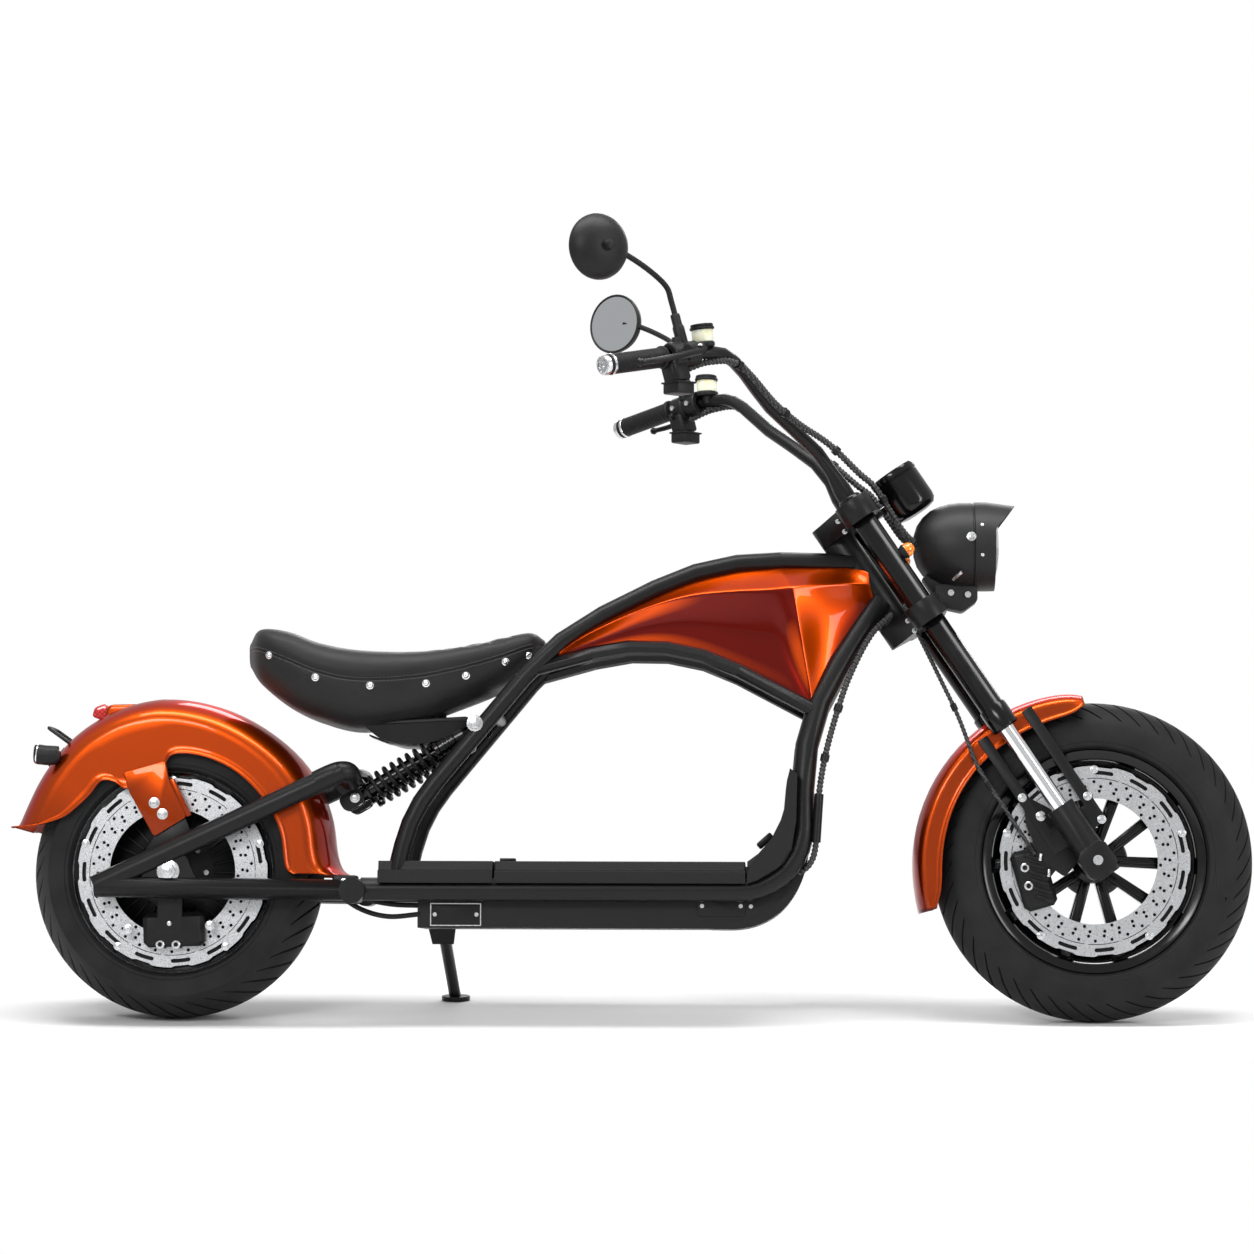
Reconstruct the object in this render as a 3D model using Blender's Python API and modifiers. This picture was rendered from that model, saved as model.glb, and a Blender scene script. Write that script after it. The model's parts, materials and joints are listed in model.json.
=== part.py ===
"""Electric chopper scooter, leaning on its side stand.

Units are metres. X points forward, Y to the rider's left and Z up. The pieces are modelled upright, with
the ground at Z = 0 and X = 0 about half way between the wheels. One empty carries and leans them.
"""

import math

import bmesh
import bpy
from mathutils import Matrix, Vector

GAP = 0.0003  # between faces that touch
CUT_DEPTH = 0.1
LEAN = math.radians(7.0)

# Wheels. A tyre is set by its outer radius, width and the radius of its tread across the wheel.
REAR_AXLE_X = -0.739
REAR_TYRE_RADIUS = 0.2384
REAR_TYRE_HALF_WIDTH = 0.1075
REAR_TREAD_RADIUS = 0.150
REAR_TREAD_STEPS = 3
REAR_BEAD_RADIUS = REAR_TYRE_RADIUS - 0.086
REAR_FLANGE_RADIUS = REAR_BEAD_RADIUS + 0.0136
REAR_RIM_HALF_WIDTH = REAR_TYRE_HALF_WIDTH - 0.0175
FRONT_AXLE_X = 0.767
FRONT_TYRE_RADIUS = 0.262
FRONT_TYRE_HALF_WIDTH = 0.061
FRONT_TREAD_RADIUS = 0.062
FRONT_TREAD_STEPS = 4
FRONT_BEAD_RADIUS = FRONT_TYRE_RADIUS - 0.0905
FRONT_FLANGE_RADIUS = FRONT_BEAD_RADIUS + 0.0125
FRONT_RIM_HALF_WIDTH = FRONT_TYRE_HALF_WIDTH - 0.011
RIM_WALL = 0.005
FLANGE_THICKNESS = 0.0035
WHEEL_STEPS = 32
SPOKE_PAIRS = 5
SPOKE_HALF_THICKNESS = 0.016
FRONT_HUB_RADIUS = 0.030
FRONT_HUB_HALF_WIDTH = 0.045
AXLE_RADIUS = 0.0085
AXLE_CLEARANCE = 0.0005
# The tyre's side wall between its tread and its bead.
WALL_SHOULDER_RISE = 0.018
WALL_SHOULDER_INSET = 0.002
WALL_FOOT_RISE = 0.006
WALL_FOOT_SWELL = 0.003
BEAD_CLEARANCE = 0.0015
# Two spokes leave the hub side by side and spread to the rim: share of the pitch each way from the middle.
SPOKE_ROOT_SHARE = 0.06
SPOKE_ROOT_RADIUS = 0.050
SPOKE_RIM_SHARES = (0.27, 0.36)
SPOKE_HUB_SHARE = 0.40
DISC_BOSS_SHARE = 0.315
DISC_BOSS_INSET = 0.004
DISC_BOSS_RADIUS = 0.006
MOTOR_HALF_WIDTH = 0.046
MOTOR_COVER_RADIUS = 0.42 * REAR_BEAD_RADIUS
MOTOR_BOSS_RADIUS = 0.026
MOTOR_BOSS_REACH = 0.085
MOTOR_BOSS_RISE = 0.016
MOTOR_COVER_RISE = 0.012
MOTOR_EDGE_INSET = 0.012
MOTOR_EDGE_DROP = 0.006

# Brakes. The two discs are alike: each takes its radius from its rim.
FRONT_DISC_RADIUS = FRONT_BEAD_RADIUS - 0.018
REAR_DISC_RADIUS = REAR_BEAD_RADIUS + 0.0011
DISC_LUG_HEIGHT = 0.0025
DISC_LUGS = 15
DISC_RING_WIDTH = 0.051
DISC_THICKNESS = 0.005
DISC_SLOT_INSET = 0.009
DISC_SLOT_HALF_WIDTH = 0.0042
DISC_SLOT_HALF_ANGLE = math.radians(7.0)
CALIPER_CLEARANCE = 0.0025
CALIPER_DEPTH = 0.056
CALIPER_LENGTH = 0.100
CALIPER_BEVEL = 0.008
CALIPER_ARM_THICKNESS = 0.008
FRONT_DISC_Y = -(FRONT_RIM_HALF_WIDTH + 0.0025)
FRONT_CALIPER_X = -(FRONT_DISC_RADIUS - 0.0535)
FRONT_CALIPER_Z = -0.029
REAR_CALIPER_X = 0.006
REAR_CALIPER_Z = -(REAR_DISC_RADIUS - 0.0595)
# How far each caliper reaches from its disc's middle toward the wheel and away from it, and its turn.
FRONT_CALIPER_REACH = (0.018, 0.0195)
FRONT_CALIPER_TURN = math.radians(-16.0)
REAR_CALIPER_REACH = (0.016, 0.029)
REAR_CALIPER_TURN = math.radians(88.0)
# The front caliper's arm: two corners from the caliper's middle, then three from a point up the leg.
CALIPER_ARM_LOW = (0.0, -0.030)
CALIPER_ARM_HIGH = (-0.010, 0.036)
CALIPER_ARM_ON_LEG = ((-0.010, -0.040), (0.004, 0.002), (-0.050, 0.040))
CALIPER_ARM_ALONG = 0.060
# The rear caliper hangs from a strap on the axle: how far it passes the axle and the caliper's middle.
HANGER_WIDTH = 0.040
HANGER_TOP = 0.020
HANGER_PAST = 0.006

# Fork, measured along the legs from the front axle.
RAKE = math.radians(34.2)
FORK_OFFSET = 0.047
LEG_Y = FRONT_TYRE_HALF_WIDTH + 0.039
LEG_RADIUS = 0.024
LEG_BOTTOM = -0.030
LEG_TOP = 0.106
STANCHION_RADIUS = 0.014
COLLAR_BOTTOM = 0.260
COLLAR_TOP = 0.303
COLLAR_RADIUS = 0.0235
FORK_TUBE_RADIUS = 0.0205
LOWER_CLAMP = 0.491
UPPER_CLAMP = 0.691
CLAMP_HALF_HEIGHT = 0.018
CLAMP_COLLAR_RADIUS = 0.031
CLAMP_WAIST_ANGLE = math.radians(28.0)
CLAMP_BACK_ANGLE = math.radians(51.6)
# The square block that clamps the axle at each leg's foot: half its side and the cut of its corners.
AXLE_CLAMP_HALF = 0.0265
AXLE_CLAMP_CHAMFER = 0.009
FORK_EDGE = 0.003
STEM_BOSS_RADIUS = 0.028
HEAD_TUBE_RADIUS = 0.028
FORK_TUBE_TOP = 0.716
STEER_CLEARANCE = 0.0004

# Frame tubes.
BOX_HALF_WIDTH = 0.0985
BOX_CLEARANCE = 0.0005
CRADLE_RADIUS = 0.019
CRADLE_Y = BOX_HALF_WIDTH + BOX_CLEARANCE + CRADLE_RADIUS
CRADLE_Z = 0.212
MAIN_RADIUS = 0.015
ARCH_RADIUS = 0.012
CRADLE_HEAD = 0.549
MAIN_HEAD = 0.628
HEAD_SPACING = 0.0025
# Corners of the tubes, as far as their last bend before the head tube: x, y, z, bend radius.
CRADLE = (
    (-0.428, CRADLE_Y, CRADLE_Z, 0.0),
    (0.290, CRADLE_Y, CRADLE_Z, 0.104),
    (0.290, CRADLE_Y - 0.026, 0.490, 0.380),
)
MAIN = (
    (-0.375, CRADLE_Y, CRADLE_Z + 0.010, 0.0),
    (-0.347, CRADLE_Y - 0.002, 0.340, 0.250),
    (-0.110, CRADLE_Y - 0.018, 0.625, 0.400),
    (0.145, CRADLE_Y - 0.063, 0.757, 0.450),
)
ARCH = (
    (-0.150, CRADLE_Y - 0.0153, 0.572, 0.0),
    (0.070, CRADLE_Y - 0.026, 0.632, 0.330),
    (0.316, CRADLE_Y - 0.0305, 0.502, 0.0),
)
# Stations of the side covers: x, the ridge's share of the way up, and how far the ridge stands out.
COVER = (
    (-0.108, 0.60, 0.002),
    (-0.060, 0.62, 0.008),
    (0.020, 0.68, 0.014),
    (0.100, 0.70, 0.018),
    (0.180, 0.66, 0.018),
    (0.262, 0.70, 0.016),
    (0.305, 0.68, 0.012),
    (0.345, 0.55, 0.004),
)
COVER_INSET = 0.006
COVER_OUTSIDE = 0.002
COVER_INSIDE = -0.008

# Deck and battery box.
DECK_REAR_X = -0.399
LID_REAR_X = -0.213
LID_FRONT_X = 0.200
LID_GAP = 0.003
DECK_BOTTOM_Z = 0.2325
DECK_STEP_Z = 0.242
DECK_TOP_Z = 0.258
DECK_STEP_HALF_WIDTH = CRADLE_Y + 0.013
DECK_HALF_WIDTH = DECK_STEP_HALF_WIDTH + 0.014
DECK_LIP_Z = 0.222
DECK_LIP_THICKNESS = 0.0065
BOX_WALL = 0.004
BOX_BOTTOM_Z = 0.150
BOX_REAR_X = -0.337
BOX_BEND_X = 0.187
BATTERY_CLEARANCE = 0.003
# The box's front wall rises behind the down tubes. The deck's underside follows the same line: x, z.
SPLIT_LINE = (
    (LID_FRONT_X, DECK_BOTTOM_Z), (0.230, 0.2335), (0.256, 0.250), (0.272, 0.278), (0.2785, 0.320),
    (0.281, 0.400),
)
DECK_RISE = ((0.269, 0.409), (0.264, 0.389), (0.260, 0.345), (0.254, 0.325), (0.239, 0.295), (0.219, 0.272))
LIP_LINE = (
    (LID_FRONT_X, DECK_LIP_Z), (0.217, 0.228), (0.252, 0.250), (0.271, 0.281), (0.279, 0.323),
    (0.281, 0.400),
)
BOX_NOSE = ((BOX_BEND_X, BOX_BOTTOM_Z), (0.235, 0.177), (0.276, 0.222), (0.297, 0.275), (0.299, 0.285))

# Side stand.
STAND_PIVOT = Vector((-0.312, CRADLE_Y + 0.019, 0.150))
STAND_FOOT_X = -0.298
STAND_FOOT_Y = 0.250
STAND_RADIUS = 0.010
STAND_EYE_RADIUS = 0.016
STAND_EYE_HALF = 0.011
STAND_PAD_RADIUS = 0.024
STAND_PAD_THICKNESS = 0.008
STAND_LUG_THICKNESS = 0.008
STAND_WEB_CLEARANCE = 0.002
STAND_WEB_LENGTH = 0.050
STAND_LUG_TOP = 0.016
STAND_LUG = ((-0.018, STAND_LUG_TOP), (0.018, STAND_LUG_TOP), (0.024, -0.028), (-0.024, -0.028))

# Swingarm and suspension.
SWINGARM_Y = REAR_TYRE_HALF_WIDTH + 0.0325
SWINGARM_RADIUS = 0.0175
SWINGARM_PIVOT_X = -0.440
SWINGARM_LOWER_Z = 0.209
SWINGARM_APEX_X = -0.859
PIVOT_BOSS_RADIUS = 0.021
BRIDGE_RADIUS = 0.015
BRIDGE_ANGLE = math.radians(31.5)
DROPOUT_THICKNESS = 0.010
SWINGARM_RISE = 0.006
# The dropout: half its length on the lower tube, then its shoulders' half lengths and heights over the axle.
DROPOUT_HALF_LENGTH = 0.052
DROPOUT_SHOULDERS = ((0.030, 0.022), (0.014, 0.034))
SHOCK_Y = 0.066
SHOCK_LOWER = Vector((-0.442, 0.0, 0.362))
SHOCK_UPPER = Vector((-0.240, 0.0, 0.480))
SHOCK_EYE_RADIUS = 0.0125
SHOCK_EYE_HALF = 0.014
SHOCK_LUG_THICKNESS = 0.004
SHOCK_PIN_RADIUS = 0.005
SHOCK_FRAME_PIN_RADIUS = 0.008
SPRING_RADIUS = 0.0235
SPRING_WIRE = 0.0042
SPRING_TURNS = 5
DAMPER_RADIUS = 0.022
DAMPER_SLEEVE_RADIUS = 0.0126
SPRING_SEAT_UP = 0.020
SPRING_SEAT_THICKNESS = 0.005
SPRING_TOP_SHARE = 0.56
SPRING_CAP = 0.008
DAMPER_SHOULDER = 0.012
COIL_STEPS = 7

# Fenders.
FENDER_SHEET = 0.003
FRONT_FENDER_RADIUS = FRONT_TYRE_RADIUS + 0.025
FRONT_FENDER_SHIFT = (-0.0076, -0.0063)
FRONT_FENDER_HALF_WIDTH = FRONT_TYRE_HALF_WIDTH + 0.0115
FRONT_FENDER_CROWN = 0.008
FRONT_FENDER_CORNER = 0.016
FRONT_FENDER_STEPS = 14
REAR_FENDER_RADIUS = REAR_TYRE_RADIUS + 0.0396
REAR_FENDER_SHIFT = (0.0154, 0.0026)
REAR_FENDER_HALF_WIDTH = REAR_TYRE_HALF_WIDTH + 0.012
REAR_FENDER_CROWN = 0.014
REAR_FENDER_CORNER = 0.026
REAR_FENDER_STEPS = 20
FENDER_CORNER_SHARE = 1.3
STAY_THICKNESS = 0.004
# The plate between leg and front fender: distance in front of the leg, distance up it.
STAY_OUTLINE = (
    (-0.050, 0.045), (0.054, 0.045), (0.056, 0.268), (0.038, 0.268), (0.036, 0.085),
    (-0.031, 0.085), (-0.031, 0.268), (-0.049, 0.268),
)
# The skirts' depth along each fender: degrees round the wheel from straight ahead, and depth.
FRONT_SKIRT = ((93.0, 0.020), (104.0, 0.040), (112.0, 0.045), (176.0, 0.045), (190.0, 0.036), (196.0, 0.020))
REAR_SKIRT = (
    (-1.0, 0.098), (4.0, 0.106), (28.0, 0.101), (60.0, 0.092), (100.0, 0.088), (130.0, 0.084),
    (150.0, 0.070), (158.0, 0.050), (163.0, 0.026),
)

# Lamps and instruments. The headlight is placed from the front axle.
HEADLIGHT = Vector((-0.218, 0.0, 0.5215))
HEADLIGHT_RADIUS = 0.073
HEADLIGHT_REAR = -0.075
HEADLIGHT_FRONT = 0.045
LENS_DEPTH = 0.012
LENS_RADIUS = 0.0655
LENS_BULGE = (0.008, 0.005, -0.002)
SHELL_WALL = 0.005
SHELL_STRAIGHT = 0.035
SHELL_STEPS = 6
HEADLIGHT_ARM = (0.030, 0.060, 0.050)
HEADLIGHT_ARM_UP = 0.012
# The visor is cut by a plane from its tip down to the shell's lower edge.
VISOR_FRONT = 0.105
VISOR_FOOT = 0.049
SPEEDO_FORWARD = 0.089
SPEEDO_BELOW_CLAMP = 0.013
SPEEDO_RADIUS = 0.040
SPEEDO_HALF_LENGTH = 0.040
SPEEDO_EDGE = 0.004
SPEEDO_ARM = (0.024, 0.016)
MARKER_ALONG = 0.591
MARKER_LENGTH = 0.024
MARKER_RADII = (0.009, 0.012)

# Handlebar, grips and mirrors. Their places are from the front axle: x, y, z.
BAR_RADIUS = 0.011
RISER_RADIUS = 0.016
GRIP_RADIUS = 0.0165
GRIP_START = Vector((-0.703, 0.320, 0.7915))
GRIP_END = Vector((-0.789, 0.390, 0.7695))
PERCH_PLACE = Vector((-0.669, 0.305, 0.7975))
MIRROR_HEAD = Vector((-0.801, 0.400, 0.9565))
MIRROR_RADIUS = 0.0525
MIRROR_STEM_RADIUS = 0.005
# Route of each half of the handlebar above its clamp, ending inside the grip.
BAR_ROUTE = (
    (-0.413, 0.060, 0.6105), (-0.453, 0.080, 0.6695), (-0.531, 0.150, 0.7345), (-0.574, 0.220, 0.7825),
    (-0.607, 0.268, 0.8045), (-0.652, 0.300, 0.8015), (-0.703, 0.320, 0.7915),
)
BAR_STEPS = 2
# The brake lever, from its perch: distance ahead of the bar and along the grip.
LEVER_ROUTE = ((0.040, 0.0), (0.052, 0.030), (0.055, 0.085), (0.046, 0.125))
POT_PLACE = (-0.639, 0.290, 0.8355)
POT_SIZE = (0.036, 0.046, 0.026)
POT_NECK_RADIUS = 0.010
# Brake perch and switch housing along the grip, from the perch's place.
PERCH_RADIUS = 0.021
PERCH_SPAN = (-0.024, 0.030)
SWITCH_SPAN = (0.002, 0.030)
SWITCH_DROP = 0.018
LEVER_ARM_LENGTH = 0.045
LEVER_ARM_RADIUS = 0.008
LEVER_RADIUS = 0.0055
LEVER_AHEAD = (0.631, 0.776, 0.0)
SOCKET_LENGTH = 0.050
SOCKET_RADIUS = 0.0095
MIRROR_FACING = (-0.55, -0.83, 0.05)
# The mirror's head behind its glass: share of the radius, depth.
MIRROR_BACK = ((1.0, 0.002), (0.92, -0.008), (0.6, -0.020), (0.0, -0.026))
MIRROR_FACE = 0.006
MIRROR_EDGE = 0.003
MIRROR_ROUTE = (
    (-0.679, 0.300, 0.8465), (-0.693, 0.310, 0.9015), (-0.754, 0.368, 0.9475), (-0.797, 0.392, 0.9565),
)

# Saddle. Sections: x, half width, z of the underside, z of the top.
SEAT = (
    (-0.622, 0.050, 0.578, 0.618), (-0.600, 0.108, 0.547, 0.640), (-0.553, 0.132, 0.511, 0.636),
    (-0.500, 0.138, 0.487, 0.617), (-0.437, 0.136, 0.474, 0.606), (-0.350, 0.122, 0.488, 0.604),
    (-0.277, 0.100, 0.512, 0.613), (-0.206, 0.084, 0.541, 0.628), (-0.158, 0.070, 0.570, 0.637),
    (-0.136, 0.036, 0.592, 0.626),
)
SEAT_STEPS = 10
# The pan under the saddle, from its rear end forward to the tube that carries it: x, z of its top.
PAN = ((-0.424, 0.469), (-0.395, 0.458), (-0.359, 0.4525), (-0.325, 0.457), (-0.280, 0.474))
PAN_HALF_WIDTH = 0.034
PAN_THICKNESS = 0.003
SEAT_TUBE_X = -0.215
SEAT_TUBE_RADIUS = 0.010
SEAT_POST_RADIUS = 0.007
SEAT_POSTS_X = (-0.400, -0.306)
SEAT_POST_TOP = 0.520

# The tab that carries each side of the rear fender, as shares of its radius from the axle: x, z.
FENDER_TAB = (
    (-0.284, 0.577), (-0.241, 0.455), (-0.094, 0.203), (0.094, 0.322), (-0.011, 0.534), (-0.032, 0.721),
    (-0.219, 0.721),
)

# Tail box and signal bar. Side outline of the box that stands on the fender, as shares of its radius: x, z.
TAIL_TOP_SHARE = 0.998
TAIL_BOX = (
    (-0.115, 0.937), (-0.115, TAIL_TOP_SHARE), (-0.421, TAIL_TOP_SHARE), (-0.446, 0.890), (-0.428, 0.829),
)
TAIL_BOX_WIDTH = 0.090
TAIL_MOUNT_SHARE = -0.273
TAIL_LENS = ((-0.511, 0.908), (-0.507, 0.966), (-0.478, 0.987))
TAIL_LENS_WIDTH = 0.084
SIGNAL_ANGLE = math.radians(139.5)
SIGNAL_FOOT = (0.040, 0.036, 0.014)
SIGNAL_BAR_OUT = 0.012
SIGNAL_BAR_RADIUS = 0.006
SIGNAL_Y = 0.105
SIGNAL_POD_RADIUS = 0.015
SIGNAL_POD_FRONT = -0.016
SIGNAL_POD_REAR = 0.022

SIDES = (("right", -1.0), ("left", 1.0))
REAR_DISC_Y = -(REAR_RIM_HALF_WIDTH + GAP + DISC_THICKNESS / 2)
FORK_UP = Vector((-math.sin(RAKE), 0.0, math.cos(RAKE)))
FORK_FORWARD = Vector((math.cos(RAKE), 0.0, math.sin(RAKE)))
ACROSS = Vector((0.0, 1.0, 0.0))


def rest_height(radius, tread_radius):
    """The axle's height at which a leaning tyre just touches the ground."""
    return radius + tread_radius * (1.0 / math.cos(LEAN) - 1.0)


FRONT_AXLE = Vector((FRONT_AXLE_X, 0.0, rest_height(FRONT_TYRE_RADIUS, FRONT_TREAD_RADIUS)))
REAR_AXLE = Vector((REAR_AXLE_X, 0.0, rest_height(REAR_TYRE_RADIUS, REAR_TREAD_RADIUS)))


def fork_point(along, forward=0.0, y=0.0):
    """A point given by its distance up the fork leg and in front of it."""
    return FRONT_AXLE + FORK_UP * along + FORK_FORWARD * forward + ACROSS * y


def on_fender(points):
    """Side-view points given from the rear axle as shares of the fender's radius."""
    return [(REAR_AXLE.x + x * REAR_FENDER_RADIUS, REAR_AXLE.z + z * REAR_FENDER_RADIUS) for x, z in points]


def head_point(along, y=0.0):
    return fork_point(along, -FORK_OFFSET, y)


def axes(origin, x_axis, z_axis):
    """A matrix with its local X and Z along the two given directions."""
    z_axis = Vector(z_axis).normalized()
    y_axis = z_axis.cross(Vector(x_axis)).normalized()
    turned = Matrix((y_axis.cross(z_axis), y_axis, z_axis)).transposed().to_4x4()
    return Matrix.Translation(origin) @ turned


def along_line(start, end):
    """A matrix at the start of a line, with its local Z along it and its local Y level where it can be."""
    direction = (Vector(end) - Vector(start)).normalized()
    side = ACROSS if abs(direction.y) < 0.9 else Vector((1.0, 0.0, 0.0))
    return axes(start, side.cross(direction), direction)


def side_view(y):
    """Local X and Y become X and Z, and local Z becomes -Y."""
    return Matrix.Translation((0.0, y, 0.0)) @ Matrix.Rotation(math.pi / 2, 4, "X")


for old in list(bpy.data.objects):
    bpy.data.objects.remove(old, do_unlink=True)

scooter = bpy.data.collections.new("electric_chopper_scooter")
cutters = bpy.data.collections.new("cutters")
cutters.hide_render = True
for collection in (scooter, cutters):
    bpy.context.scene.collection.children.link(collection)


def material(name, colour, roughness, metallic=0.0):
    made = bpy.data.materials.new(name)
    made.use_nodes = True
    shader = made.node_tree.nodes["Principled BSDF"]
    shader.inputs["Base Color"].default_value = (*colour, 1.0)
    shader.inputs["Roughness"].default_value = roughness
    shader.inputs["Metallic"].default_value = metallic
    return made


ORANGE = material("candy_orange_paint", (0.85, 0.20, 0.02), 0.25, 0.3)
BLACK = material("black_frame_paint", (0.012, 0.012, 0.013), 0.30)
RUBBER = material("tyre_rubber", (0.020, 0.020, 0.021), 0.80)
GRIP_RUBBER = material("grip_rubber", (0.015, 0.015, 0.015), 0.75)
LEATHER = material("black_leather", (0.020, 0.018, 0.017), 0.50)
STEEL = material("brushed_steel", (0.60, 0.60, 0.60), 0.35, 1.0)
CHROME = material("chrome", (0.85, 0.85, 0.85), 0.08, 1.0)
ALLOY = material("black_cast_alloy", (0.030, 0.030, 0.032), 0.40, 0.5)
PLASTIC = material("black_plastic", (0.020, 0.020, 0.021), 0.50)
CLEAR = material("clear_lens", (0.90, 0.90, 0.92), 0.05)
RED = material("red_lens", (0.60, 0.01, 0.01), 0.15)
AMBER = material("amber_lens", (0.90, 0.35, 0.02), 0.15)


def pivot(name, place, x_axis=(1.0, 0.0, 0.0), z_axis=(0.0, 0.0, 1.0), parent=None):
    """An empty on a joint's axis."""
    empty = bpy.data.objects.new(name, None)
    empty.empty_display_size = 0.05
    scooter.objects.link(empty)
    if parent is None:
        empty.matrix_world = axes(place, x_axis, z_axis)
        return empty
    empty.parent = parent
    empty.matrix_parent_inverse = parent.matrix_world.inverted()
    empty.matrix_basis = axes(place, x_axis, z_axis)
    bpy.context.view_layer.update()
    return empty


def hang(obj, parent):
    """Parents an object without moving it."""
    obj.parent = parent
    obj.matrix_parent_inverse = parent.matrix_world.inverted()


root = pivot("lean", (0.0, 0.0, 0.0))
bpy.context.view_layer.update()
steering = pivot("steering_axis", head_point((LOWER_CLAMP + UPPER_CLAMP) / 2), FORK_FORWARD, FORK_UP, root)
front_wheel = pivot("front_wheel_axis", FRONT_AXLE, parent=steering)
rear_wheel = pivot("rear_wheel_axis", REAR_AXLE, parent=root)


def link(obj, matrix=None):
    """A new helper solid: it sits with the cutters until piece() makes it a sub-part."""
    obj.hide_render = True
    obj.display_type = "WIRE"
    cutters.objects.link(obj)
    if matrix is not None:
        obj.matrix_basis = matrix
    hang(obj, root)
    return obj


def solid(name, bm, matrix=None):
    mesh = bpy.data.meshes.new(name)
    bmesh.ops.recalc_face_normals(bm, faces=bm.faces)
    bm.to_mesh(mesh)
    bm.free()
    return link(bpy.data.objects.new(name, mesh), matrix)


def converted(curve, matrix):
    """The curve as a mesh with welded caps."""
    scooter.objects.link(curve)
    graph = bpy.context.evaluated_depsgraph_get()
    mesh = bpy.data.meshes.new_from_object(curve.evaluated_get(graph))
    bm = bmesh.new()
    bm.from_mesh(mesh)
    bmesh.ops.remove_doubles(bm, verts=bm.verts, dist=0.00001)
    name = curve.name
    bpy.data.objects.remove(curve)
    return solid(name, bm, matrix)


def rod(name, start, end, radius, sides=16, end_radius=None):
    """A round bar, or a cone where the second radius is given."""
    start, end = Vector(start), Vector(end)
    bm = bmesh.new()
    bmesh.ops.create_cone(
        bm, cap_ends=True, segments=sides, radius1=radius,
        radius2=radius if end_radius is None else end_radius, depth=(end - start).length,
    )
    bmesh.ops.translate(bm, verts=bm.verts, vec=(0.0, 0.0, (end - start).length / 2))
    return solid(name, bm, along_line(start, end))


def box(name, centre, size, matrix=None):
    """A box round the centre. With a matrix, centre and size are in that matrix's own axes."""
    bm = bmesh.new()
    bmesh.ops.create_cube(bm, size=1.0)
    bmesh.ops.scale(bm, verts=bm.verts, vec=size)
    bmesh.ops.translate(bm, verts=bm.verts, vec=centre)
    return solid(name, bm, matrix)


def below(name, matrix):
    """A large block under the matrix's XY plane, to cut with."""
    return box(name, (0.0, 0.0, -CUT_DEPTH / 2), (2 * CUT_DEPTH, 2 * CUT_DEPTH, CUT_DEPTH), matrix)


def turned(name, profile, matrix, steps, angle=math.tau):
    """A profile of (radius, height) points, top to bottom, turned about the matrix's Z axis."""
    bm = bmesh.new()
    corners = [bm.verts.new((radius, 0.0, height)) for radius, height in profile]
    for first, second in zip(corners, corners[1:]):
        bm.edges.new((first, second))
    if profile[0][0] > GAP and angle == math.tau:
        bm.edges.new((corners[-1], corners[0]))
    mesh = bpy.data.meshes.new(name)
    bm.to_mesh(mesh)
    bm.free()
    obj = link(bpy.data.objects.new(name, mesh), matrix)
    screw = obj.modifiers.new("turn", "SCREW")
    screw.steps = steps
    screw.render_steps = steps
    screw.angle = angle
    screw.use_merge_vertices = True
    screw.merge_threshold = 0.00005
    return obj


def bent_path(corners, step=math.radians(10.0)):
    """Points of a tube that runs straight between corners (x, y, z, bend radius) and bends round each."""
    points = [Vector(corners[0][:3])]
    for before, corner, after in zip(corners, corners[1:], corners[2:]):
        place, bend = Vector(corner[:3]), corner[3]
        back = (Vector(before[:3]) - place).normalized()
        ahead = (Vector(after[:3]) - place).normalized()
        turn = math.pi - back.angle(ahead)
        middle = (back + ahead).normalized()
        centre = place + middle * bend / math.cos(turn / 2)
        start = place + back * bend * math.tan(turn / 2) - centre
        count = max(2, round(turn / step))
        turning = back.cross(ahead).normalized()
        for index in range(count + 1):
            points.append(centre + Matrix.Rotation(-turn * index / count, 3, turning) @ start)
    return points + [Vector(corners[-1][:3])]


def smooth_path(points, spans=4):
    """Points on one smooth curve through the given ones."""
    places = [Vector(point) for point in points]
    ends = [2 * places[0] - places[1], *places, 2 * places[-1] - places[-2]]
    path = []
    for a, b, c, d in zip(ends, ends[1:], ends[2:], ends[3:]):
        for index in range(spans):
            t = index / spans
            bend = (2 * a - 5 * b + 4 * c - d) * t**2
            path.append(0.5 * (2 * b + (c - a) * t + bend + (3 * b - a - 3 * c + d) * t**3))
    return path + [places[-1]]


def tube(name, points, radius, sides=12, radii=None):
    """A tube along points. Radii, where given, scale it at each point."""
    data = bpy.data.curves.new(name, "CURVE")
    data.dimensions = "3D"
    data.bevel_depth = radius
    data.bevel_resolution = (sides - 4) // 2
    data.use_fill_caps = True
    spline = data.splines.new("POLY")
    spline.points.add(len(points) - 1)
    for index, place in enumerate(points):
        spline.points[index].co = (*place, 1.0)
        spline.points[index].radius = radii[index] if radii else 1.0
    return converted(bpy.data.objects.new(name, data), Matrix())


def plate(name, outlines, thickness, matrix):
    """A flat outline, then its holes, as local XY points, with half the thickness each way along local Z."""
    data = bpy.data.curves.new(name, "CURVE")
    data.dimensions = "2D"
    data.fill_mode = "BOTH"
    data.extrude = thickness / 2
    for outline in outlines:
        spline = data.splines.new("POLY")
        spline.points.add(len(outline) - 1)
        spline.use_cyclic_u = True
        for point, (x, y) in zip(spline.points, outline):
            point.co = (x, y, 0.0, 1.0)
    return converted(bpy.data.objects.new(name, data), matrix)


def loft(name, rings, matrix=None):
    """A closed skin through rings of points, each ring with the same count."""
    bm = bmesh.new()
    corners = [[bm.verts.new(point) for point in ring] for ring in rings]
    for first, second in zip(corners, corners[1:]):
        for index in range(len(first)):
            after = (index + 1) % len(first)
            bm.faces.new((first[index], first[after], second[after], second[index]))
    bm.faces.new(corners[0])
    bm.faces.new(corners[-1])
    return solid(name, bm, matrix)


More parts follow.
